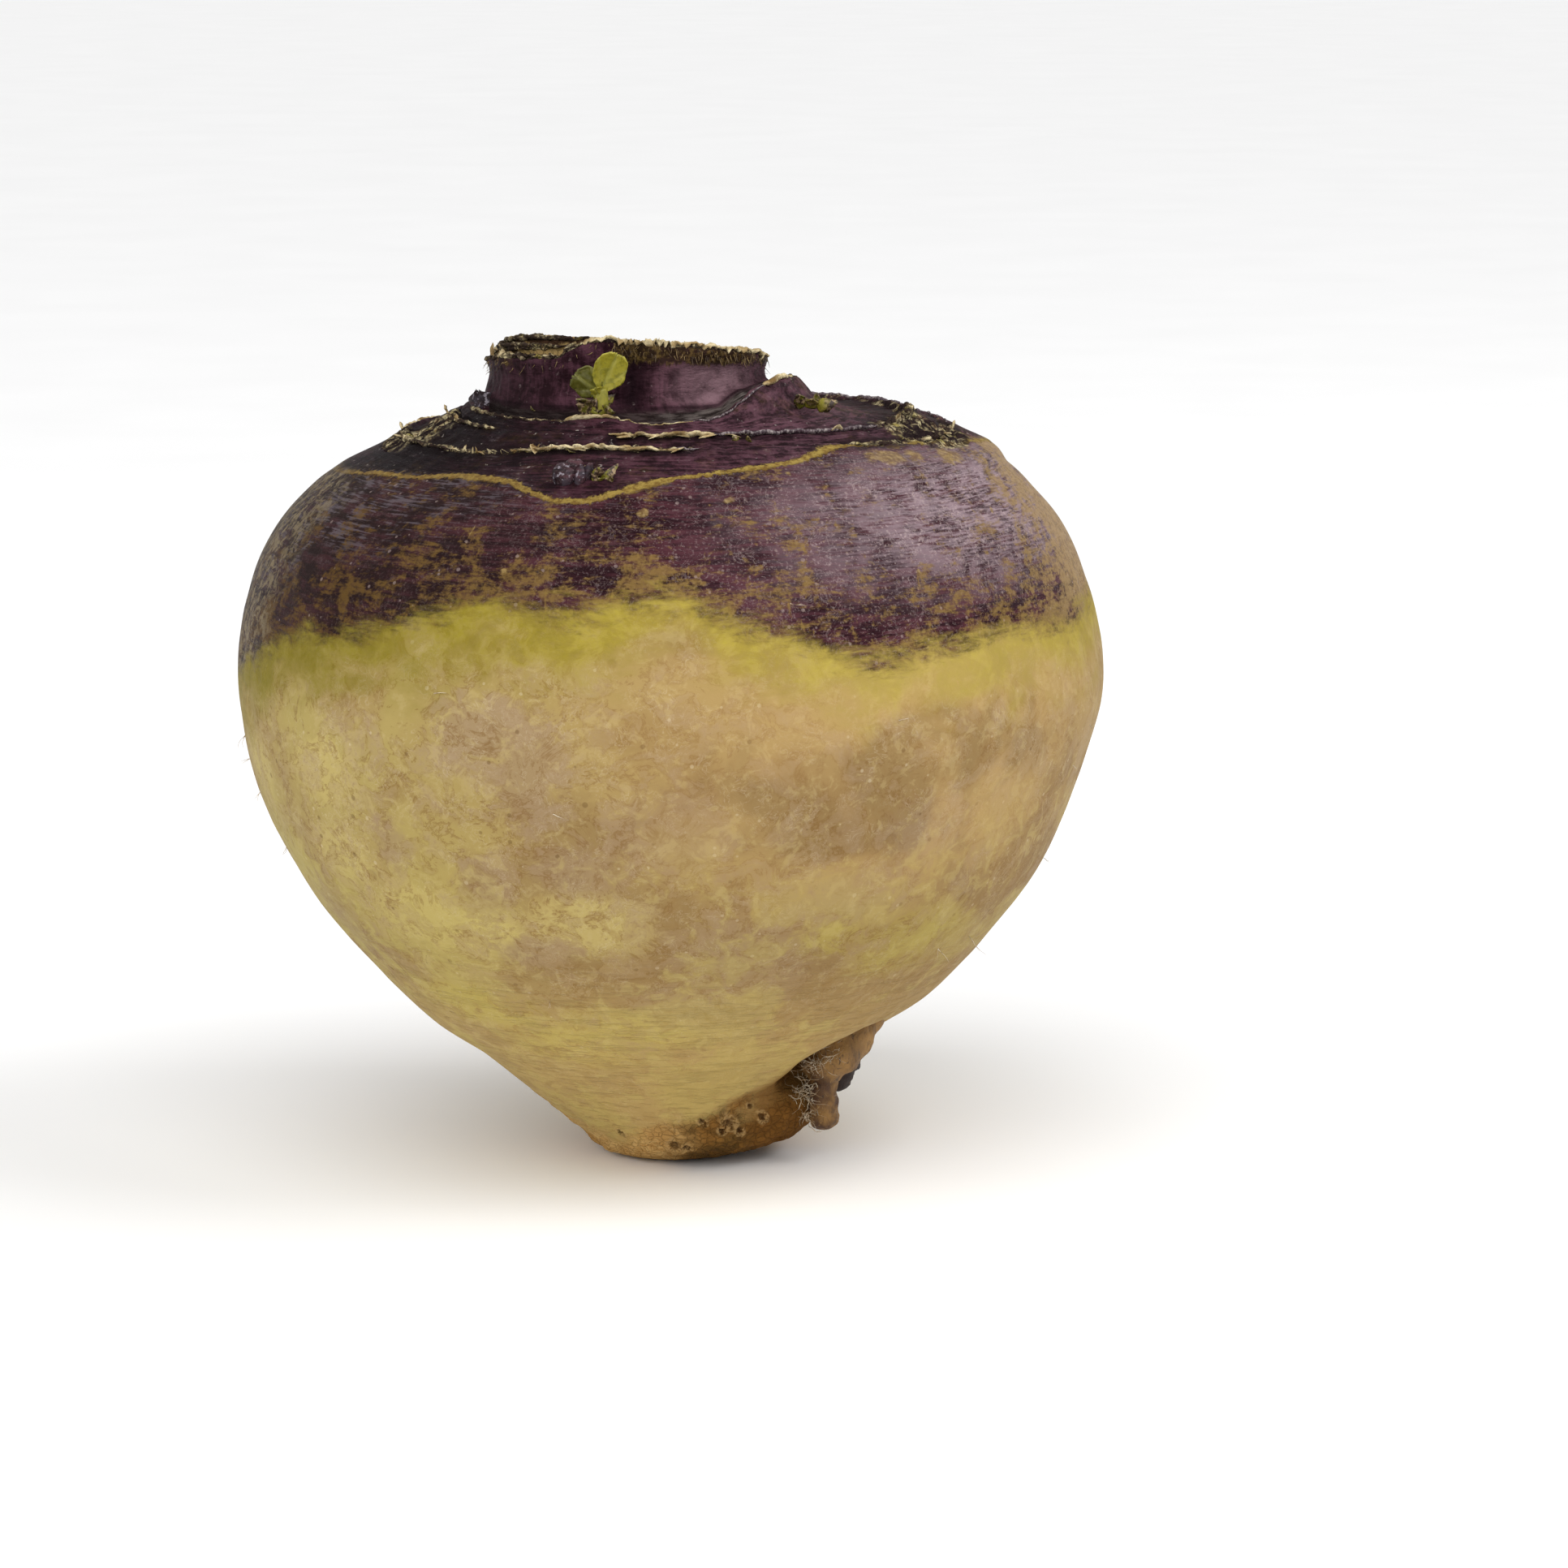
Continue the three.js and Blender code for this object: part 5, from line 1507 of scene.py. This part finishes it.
# %% Knob
KNOB_SCALES = [
    # centre on the crown, half sizes, turn to the right in degrees
    ((-13.6, -39.6, -5.8), (1.7, 1.5, 2.0), -16),
    ((-11.5, -40.2, -6.2), (0.9, 1.1, 2.0), 6),
    ((-10.5, -39.7, -5.5), (0.8, 1.0, 1.7), 22),
    ((-12.4, -39.2, -4.3), (1.4, 1.1, 0.9), -6),
]
knob_mesh = bmesh.new()
for centre, size, turn in KNOB_SCALES:
    matrix = (Matrix.Translation(crown_spot(*centre)) @ Matrix.Rotation(math.radians(turn), 4, "Y")
              @ Matrix.Diagonal((*size, 1)))
    bmesh.ops.create_uvsphere(knob_mesh, u_segments=36, v_segments=24, radius=1, matrix=matrix)
collar_flap = standing((-26.6, -3.4, 108.0), (-0.38, -0.15, 1.0), (-0.6, -0.8, 0.2))
blade(knob_mesh, "flake", 3.8, 4.6, 0.5, collar_flap, curl=-0.5, cup=0.8, ragged=0.35, seed=5,
      steps=(14, 14))
knob_mesh.normal_update()
for vert in knob_mesh.verts:
    vert.co += vert.normal * (0.16 * noise.noise(vert.co / 0.9) + 0.08 * noise.noise(vert.co / 0.4))
to_metres(knob_mesh)
finish_piece(knob_mesh, "dormant_bud", knob_finish, "root")

# %% Dry scales beside the knob and in the folds
DRY_SCALES = [
    # place on the crown, up, length, width, tone, burnt, curl
    ((-9.2, -40.6, -7.2), (0.30, -0.25, 0.95), 3.6, 1.9, 0.30, 1.9, 1.1),
    ((-8.2, -40.6, -6.8), (0.55, -0.35, 0.80), 3.2, 1.7, 0.40, 1.9, -1.0),
    ((-9.4, -40.2, -5.8), (-0.15, -0.50, 0.95), 2.2, 1.5, 0.05, 1.9, 1.2),
    ((-8.9, -40.7, -6.2), (0.10, -0.70, 0.60), 2.0, 1.6, 0.25, 1.9, 0.9),
    ((-7.8, -40.4, -7.4), (0.75, -0.45, 0.30), 2.2, 1.3, 0.15, 1.9, 0.9),
    ((-11.6, -38.4, -3.6), (-0.20, -0.70, 0.60), 1.0, 1.7, 0.20, 1.0, 0.9),
    ((11.3, -30.4, -1.6), (0.50, -0.60, 0.60), 1.5, 1.2, 0.35, 0.9, 0.8),
    ((10.2, -30.8, -1.7), (-0.40, -0.60, 0.60), 1.3, 1.2, 0.25, 1.0, -0.7),
    ((-13.4, -33.3, -1.6), (0.10, -0.70, 0.50), 1.1, 1.8, 0.45, 0.7, 0.8),
    ((-19.5, -13.5, 0.4), (0.30, -0.60, 0.60), 1.2, 1.4, 0.10, 1.0, 0.8),
]
dry_mesh = bmesh.new()
for number, (at, up, long, wide, tone, tip, curl) in enumerate(DRY_SCALES):
    foot, normal = on_skin(crown_spot(*at))
    leafy(dry_mesh, "scale", long, wide, foot - normal * 0.2, up, (0, -1, 0.4), tone, tip, curl=curl, cup=0.4,
          ragged=0.35, seed=40 + number, steps=(8, 12))
to_metres(dry_mesh)
finish_piece(dry_mesh, "dry_scales", leaf_finish, "root")

# %% [markdown]
# ## Bark and cork on the crown
#
# Where a leaf base tore off, its dry skin stands up as a pale papery edge along the lip of the terrace, and
# cork seals the wound behind it. Each edge is a flattened tube that is swept along its lip, leaning outwards
# and notched, and two or three of them overlap. They are pieces of their own because the skin's points lie
# too far apart for such thin forms.

# %% Finish of the papery edges and of the rim
def papery(name, stained, cracked):
    """Dry pale skin, with a share of brown stains and of dark cracks."""
    material, tree, shader = new_material(name)
    place = millimetres(tree)
    tone = cloud(tree, place, (2.4, 2.4, 1.6), detail=4, rough=0.6)
    stains = cloud(tree, place, (3.4, 3.4, 2.4), detail=4, rough=0.65)
    cracks = cloud(tree, place, (0.5, 0.5, 0.35), detail=3, rough=0.6)
    colour = blended(tree, tone, 0.38, 0.60, (158, 134, 92), (212, 196, 156))
    colour = mixed(tree, times(tree, mask(tree, stains, 0.50, 0.64), stained), colour,
                   screen_colour(104, 78, 40))
    colour = mixed(tree, times(tree, mask(tree, cracks, 0.44, 0.30), cracked), colour,
                   screen_colour(46, 30, 24))
    wire(tree, colour, shader.inputs["Base Color"])
    wire(tree, added(tree, 0.55, cracks, 0.3), shader.inputs["Roughness"])
    relief(tree, times(tree, cracks, 0.22), shader)
    shader.inputs["Specular IOR Level"].default_value = 0.10
    tell(name, tree)
    return material


paper_finish = papery("papery_edge", 0.85, 0.75)
rim_finish = papery("cut_rim", 0.40, 0.35)

# %% Finish of the silvery edges
silver_finish, tree, shader = new_material("silvery_edge")
place = millimetres(tree)
ribs = cloud(tree, place, (0.35, 0.35, 1.6), detail=3, rough=0.6)
tone = cloud(tree, place, (3.0, 3.0, 2.0), detail=3)
colour = blended(tree, ribs, 0.44, 0.62, (54, 36, 44), (150, 138, 136))
colour = laid(tree, colour, mask(tree, tone, 0.48, 0.62), 0.6, (62, 36, 48))
wire(tree, colour, shader.inputs["Base Color"])
wire(tree, added(tree, 0.35, ribs, 0.3), shader.inputs["Roughness"])
relief(tree, times(tree, ribs, 0.30), shader)
tell("silvery edges", tree)

# %% Finish of the crust
crust_finish, tree, shader = new_material("crust")
place = millimetres(tree)
crust = use(tree, cork, Place=place)
tone = cloud(tree, place, (2.6, 2.6, 2.0), detail=5, rough=0.65)
colour = mixed(tree, mask(tree, tone, 0.60, 0.42), crust["Colour"], screen_colour(36, 25, 23))
colour = laid(tree, colour, mask(tree, tone, 0.72, 0.40), 0.5, (60, 46, 38))
wire(tree, colour, shader.inputs["Base Color"])
wire(tree, crust["Roughness"], shader.inputs["Roughness"])
relief(tree, times(tree, crust["Height"], 0.8), shader)
shader.inputs["Specular IOR Level"].default_value = 0.10
tell("crust", tree)

# %% Edges
PACE = 0.35  # millimetres from one ring of an edge to the next
LENGTH_STEPS = 20  # straight steps that an edge's length is measured in


def edge_strip(mesh, line, first, last, thick, tall, lean, seed, notches):
    """A thin standing edge along line(azimuth), leaning outwards, from a first to a last azimuth."""
    marks = [line(first + (last - first) * step / LENGTH_STEPS) for step in range(LENGTH_STEPS + 1)]
    length = sum((there - here).length for here, there in zip(marks, marks[1:]))
    count = max(6, int(length / PACE))
    stations = []
    for step in range(count + 1):
        share = step / count
        point, normal = on_skin(line(first + (last - first) * share))
        outward = Vector((point.x - DOME_X, point.y - DOME_Y, 0)).normalized()
        waver = 0.5 * noise.noise(Vector((share * length / 3, seed, 7.7)))
        up = (normal + outward * (lean + waver)).normalized()
        ends = math.sin(math.pi * min(max(share, 0.015), 0.985)) ** 0.3
        rolling = 1 + 0.5 * noise.noise(Vector((share * length / 4.5, seed, 0.3)))
        notch = 1 - notches * smooth(0.05, 0.35, noise.noise(Vector((share * length, seed, 9.1))))
        half = max(0.05, tall * ends * rolling * notch / 2)
        flat = max(0.04, thick * ends * (0.75 + 0.25 * notch) / 2)
        stations.append((point + up * (half * 0.8), up, flat, half))
    sweep(mesh, stations)


def crumble(mesh, depth, scale=0.7):
    """Roughens every point of a small mesh."""
    mesh.normal_update()
    for vert in mesh.verts:
        rough = noise.noise(vert.co / scale) + 0.6 * noise.noise(vert.co / (scale * 0.4))
        notch = smooth(0.2, 0.5, abs(noise.noise(vert.co / (scale * 1.6) + Vector((9, 3, 5)))))
        vert.co += vert.normal * depth * (rough - 0.9 * notch)


def outer_lip(azimuth):
    return terrace(OUTER_TERRACE, azimuth)[1]


def middle_lip(azimuth):
    return terrace(MIDDLE_TERRACE, azimuth)[1]


def collar_lip(azimuth):
    return collar(azimuth)[1]


def lay_edges(name, finish, edges, roughness, first_seed):
    """Makes one piece of all the edges in a table."""
    mesh = bmesh.new()
    for seed, (line, first, last, thick, tall, lean, notches) in enumerate(edges, start=first_seed):
        edge_strip(mesh, line, first, last, thick, tall, lean, seed, notches)
    crumble(mesh, roughness)
    to_metres(mesh)
    return finish_piece(mesh, name, finish, "root")


PAPER_EDGES = [
    # line, first and last azimuth, thickness, height, lean outwards, depth of the notches
    (outer_lip, -125, -97, 0.55, 1.30, 1.3, 0.5), (outer_lip, -118, -103, 0.45, 1.0, 2.8, 0.6),
    (outer_lip, -112, -94, 0.50, 1.1, 0.8, 0.6), (outer_lip, -104, -90, 0.40, 0.9, 2.2, 0.7),
    (middle_lip, -108, -93, 0.50, 1.25, 1.8, 0.5), (middle_lip, -96, -82, 0.70, 1.25, 1.2, 0.2),
    (middle_lip, -92, -84, 0.60, 0.8, 2.6, 0.3),
    (collar_lip, -114, -95, 0.50, 0.80, 0.6, 0.1), (collar_lip, -97, -70, 0.16, 0.28, 0.5, 0.5),
    (collar_lip, -150, -113, 0.16, 0.26, 0.5, 0.5), (collar_lip, -38, -19, 1.15, 0.85, -0.2, 0.1),
    (middle_lip, -58, -51, 0.5, 0.7, 1.2, 0.6), (outer_lip, 75, 128, 0.45, 0.9, 1.2, 0.6),
    (middle_lip, 66, 140, 0.4, 0.8, 1.0, 0.6), (collar_lip, 30, 140, 0.25, 0.4, 0.5, 0.5),
    (outer_lip, 150, 178, 0.35, 0.7, 1.4, 0.7),
]
SILVER_EDGES = [
    (middle_lip, -86, -34, 0.65, 0.85, 1.1, 0.25), (middle_lip, -80, -44, 0.40, 0.5, 2.8, 0.4),
    (outer_lip, -94, -86, 0.35, 0.5, 1.6, 0.7), (collar_lip, -70, -37, 0.35, 0.35, 0.4, 0.1),
    (middle_lip, 10, 60, 0.5, 0.7, 1.0, 0.4), (outer_lip, 8, 70, 0.4, 0.6, 1.0, 0.5),
    (collar_lip, 140, 200, 0.3, 0.4, 0.5, 0.4),
]
CRUST_EDGES = [
    (middle_lip, -30, -4, 1.6, 1.0, 0.8, 0.8), (outer_lip, -30, 4, 1.3, 0.7, 0.8, 0.8),
    (middle_lip, -14, 12, 1.0, 1.2, 0.5, 0.9), (outer_lip, -178, -142, 0.6, 0.8, 1.4, 0.9),
    (middle_lip, -176, -140, 0.7, 0.8, 1.2, 0.9), (collar_lip, -178, -134, 0.8, 0.7, 1.6, 0.8),
    (collar_lip, -154, -112, 0.5, 0.5, 2.8, 0.8),
    (outer_lip, -52, -38, 0.7, 0.5, 1.0, 0.6),
]
lay_edges("papery_edges", paper_finish, PAPER_EDGES, 0.045, 0)
lay_edges("silvery_edges", silver_finish, SILVER_EDGES, 0.05, 40)
lay_edges("crust_edges", crust_finish, CRUST_EDGES, 0.16, 80)

# %% Rim of the cut
RIM_STRIPS = [
    # distance from the rim, drop, thickness, height, lean, notches
    (-0.3, 0.0, 1.4, 0.55, 0.2, 0.08), (-1.1, 0.0, 0.7, 0.5, 0.0, 0.5),
]
TORN_ARCS = [
    # distance from the rim, rise, first and last azimuth, height
    (-0.2, 0.1, -212, -104, 0.5), (-1.4, 0.2, -205, -108, 1.1), (-2.2, 0.4, -196, -112, 1.4),
    (-2.9, 0.2, -204, -104, 1.0), (-1.9, 0.8, -178, -124, 1.0), (-3.6, 0.0, -190, -116, 0.6),
]


def beside_rim(reach, rise):
    """A line that runs round the cut, a distance from its rim and a rise above it."""
    def line(azimuth):
        return cut_point(NECK_RIM + reach, azimuth) + Vector((0, 0, rise))
    return line


RIM_FROM, RIM_TO, RIM_STEP, RIM_OVERLAP = -106, 140, 20, 2  # degrees

rim = bmesh.new()
for layer, (reach, drop, thick, tall, lean, notches) in enumerate(RIM_STRIPS):
    for number, first in enumerate(range(RIM_FROM, RIM_TO, RIM_STEP)):
        edge_strip(rim, beside_rim(reach, drop), first - RIM_OVERLAP, first + RIM_STEP + RIM_OVERLAP, thick,
                   tall, lean, 120 + number + 40 * layer, notches)
crumble(rim, 0.04)
to_metres(rim)
finish_piece(rim, "rim_edge", rim_finish, "root")
stalk = bmesh.new()
for number, (reach, rise, first, last, tall) in enumerate(TORN_ARCS):
    edge_strip(stalk, beside_rim(reach, rise), first, last, 0.7, tall, 0.3, 200 + number, 0.6)
crumble(stalk, 0.16)
to_metres(stalk)
finish_piece(stalk, "torn_stalk", crust_finish, "root")

# %% Teeth and flakes
TEETH, TEETH_FROM, TEETH_APART = 19, -143, 1.35  # how many, the first one's azimuth, and degrees apart

dice = random.Random(7)
flakes = bmesh.new()
for number in range(TEETH):
    azimuth = TEETH_FROM + number * TEETH_APART + dice.uniform(-0.5, 0.5)
    point, normal = on_skin(outer_lip(azimuth))
    size = dice.uniform(0.8, 1.5)
    up = (normal + Vector((dice.uniform(-0.6, 0.6), -0.4, dice.uniform(-0.3, 0.3)))).normalized()
    turn = math.radians(azimuth)
    blade(flakes, "splinter", size, dice.uniform(0.6, 1.0), 0.28,
          standing(point - normal * 0.1, up, (math.cos(turn), math.sin(turn), 0.2)),
          curl=dice.uniform(-0.8, 0.8), ragged=0.4, seed=number, steps=(3, 4))
EDGE_FLAKES = [
    # azimuth, line, length, width, lean outwards, curl
    (-163, beside_rim(-0.4, 0.0), 2.4, 2.4, 0.2, -0.4), (-149, beside_rim(-0.3, 0.0), 1.3, 1.8, 0.1, 0.5),
    (-178, middle_lip, 1.5, 1.5, 1.1, 0.9), (-171, outer_lip, 1.4, 1.5, 1.4, -0.7),
    (-165, outer_lip, 1.2, 1.2, 1.0, 0.8), (-160, middle_lip, 1.3, 1.3, 0.8, 0.9),
    (175, outer_lip, 1.3, 1.4, 1.2, 0.7), (-104, middle_lip, 1.6, 2.6, 2.4, -0.8),
    (-97, middle_lip, 1.2, 2.2, 2.4, -0.6), (-84, middle_lip, 1.4, 2.8, 2.2, -0.7),
    (-77, middle_lip, 1.2, 2.4, 2.4, -0.6), (-121, outer_lip, 1.4, 2.2, 2.2, -0.6),
    (-112, outer_lip, 1.2, 2.6, 2.4, -0.5), (-91, outer_lip, 1.5, 2.6, 2.0, -0.7),
    (-118, outer_lip, 0.9, 2.6, 2.6, -0.4), (-109, outer_lip, 1.1, 3.0, 2.4, -0.4),
    (-90, middle_lip, 1.2, 3.0, 2.4, -0.4), (-100, middle_lip, 1.0, 2.6, 2.4, -0.4),
    (-50, middle_lip, 1.5, 2.0, 1.8, 0.8), (-24, middle_lip, 1.8, 1.6, 1.0, 0.9),
    (-15, outer_lip, 1.6, 1.5, 1.2, -0.8), (-8, middle_lip, 1.5, 1.6, 1.2, 0.7),
    (-2, outer_lip, 1.4, 1.3, 1.3, 0.8), (5, middle_lip, 1.4, 1.4, 1.0, -0.8),
]
for number, (azimuth, line, long, wide, lean, curl) in enumerate(EDGE_FLAKES):
    point, normal = on_skin(line(azimuth))
    outward = Vector((math.cos(math.radians(azimuth)), math.sin(math.radians(azimuth)), 0))
    blade(flakes, "flake", long, wide, 0.3, standing(point - normal * 0.1, normal + outward * lean, normal),
          curl=curl, cup=0.2, ragged=0.45, seed=60 + number, steps=(6, 8))
crumble(flakes, 0.05, 0.5)
to_metres(flakes)
finish_piece(flakes, "paper_flakes", paper_finish, "root")

# %% [markdown]
# ## Torn fibres and root hairs
#
# The knife left a fringe of dry brown fibres under the rim, and fine pale hairs are tangled round the side
# roots, with a few loose ones on the belly. Each is a very thin three-sided tube with a handful of rings,
# so hundreds of them stay light. Hair curves would be thinner still, but they don't become solid meshes.

# %% Finishes of fibres and hairs
def thread_finish(name, dark, light):
    """A plain finish that drifts between a dark and a light screen colour."""
    material, tree, shader = new_material(name)
    shade = cloud(tree, millimetres(tree), (1.4, 1.4, 1.4), detail=2)
    wire(tree, blended(tree, shade, 0.38, 0.62, dark, light), shader.inputs["Base Color"])
    wire(tree, added(tree, 0.5, shade, 0.3), shader.inputs["Roughness"])
    relief(tree, times(tree, shade, 0.05), shader)
    tell(name, tree)
    return material


fibre_finish = thread_finish("torn_fibre", (66, 48, 30), (132, 108, 66))
hair_finish = thread_finish("root_hair", (168, 140, 104), (222, 208, 182))

# %% Rim fibres
HAIR_SIDES = 3
FIBRES = 340
FIBRE_SWING = 0.7  # how far a fibre may point off to a side, next to 1 downwards


def hair(mesh, start, heading, length, thick, wander, rings=7):
    """A thin tapering thread that wanders as it goes."""
    point, heading = Vector(start), Vector(heading).normalized()
    stations = []
    for ring in range(rings + 1):
        taper = thick * (1 - 0.75 * ring / rings)
        side = heading.orthogonal()
        stations.append((point.copy(), side, taper, taper))
        heading = (heading + Vector([dice.uniform(-wander, wander) for _ in range(3)])).normalized()
        point += heading * length / rings
    sweep(mesh, stations, HAIR_SIDES)


fibres_mesh = bmesh.new()
for number in range(FIBRES):
    azimuth = dice.uniform(-180, 180) if number % 3 else dice.uniform(-95, -25)
    point = cut_point(NECK_RIM + 0.15, azimuth) - Vector((0, 0, dice.uniform(0.1, 2.1)))
    place, normal = on_skin(point)
    heading = Vector((0, 0, -1)) + normal * dice.uniform(0.0, 0.5)
    heading += Vector((dice.uniform(-FIBRE_SWING, FIBRE_SWING), dice.uniform(-FIBRE_SWING, FIBRE_SWING), 0))
    hair(fibres_mesh, place - normal * 0.1, heading, dice.uniform(0.5, 1.5), dice.uniform(0.05, 0.10), 0.3,
         rings=4)
to_metres(fibres_mesh)
finish_piece(fibres_mesh, "rim_fibres", fibre_finish, "root")

# %% Root hairs
WIDEST = 62  # the body's widest radius, where a hair's place on the skin is looked up from
TANGLES = [
    # middle of a tangle, how far it spreads, hairs, longest hair
    ((21.0, -13.2, 14.2), 1.8, 46, 5.0), ((19.6, -12.6, 11.2), 1.6, 40, 5.0),
    ((20.2, -12.2, 7.6), 1.2, 22, 3.5), ((23.5, -13.0, 15.6), 1.6, 24, 3.5),
]
hairs = bmesh.new()
for middle, spread, count, longest in TANGLES:
    for _ in range(count):
        start = Vector([side + dice.gauss(0, spread / 2) for side in middle])
        place, normal = on_skin(start)
        start = start.lerp(place, 0.25)
        heading = Vector((dice.uniform(-1, 1), -0.5, dice.uniform(-1, 0.6)))
        hair(hairs, start, heading, dice.uniform(0.35, 1.0) * longest, dice.uniform(0.035, 0.07), 0.75)
SKIN_HAIRS = [
    # azimuth, height, length, droop
    (-171, 63, 2.6, 0.9), (-172, 59, 1.6, 0.3), (-170, 54, 1.7, 0.8), (-8, 64, 1.3, 0.8), (-12, 58, 1.0, 0.5),
    (-168, 44, 1.6, 0.8), (-5, 40, 1.5, 0.6), (30, 60, 1.8, 0.7), (95, 50, 2.2, 0.6), (140, 58, 1.7, 0.6),
    (-34, 22, 2.6, 0.2), (-25, 23, 4.0, -0.2), (60, 36, 2.4, 0.9), (-110, 18, 1.2, 0.6),
]
for azimuth, height, length, droop in SKIN_HAIRS:
    outward = Vector((math.cos(math.radians(azimuth)), math.sin(math.radians(azimuth)), 0))
    for twist in (-0.25, 0.2):
        place, normal = on_skin(outward * WIDEST + Vector((0, 0, height)))
        heading = normal + Vector((twist, twist, -droop))
        hair(hairs, place - normal * 0.2, heading, length, 0.06, 0.3)
LOOSE_HAIRS = [
    # azimuth, height, length
    (-72, 91, 3.6), (-104, 60, 2.4), (-58, 72, 2.2), (-120, 76, 2.0), (40, 84, 3.0), (130, 70, 2.6),
]
for azimuth, height, length in LOOSE_HAIRS:
    turn = math.radians(azimuth)
    place, normal = on_skin((WIDEST * math.cos(turn), WIDEST * math.sin(turn), height))
    heading = Vector((-math.sin(turn), math.cos(turn), dice.uniform(-0.2, 0.2)))
    hair(hairs, place + normal * 0.05, heading, length, 0.08, 0.22)
to_metres(hairs)
finish_piece(hairs, "root_hairs", hair_finish, "root")
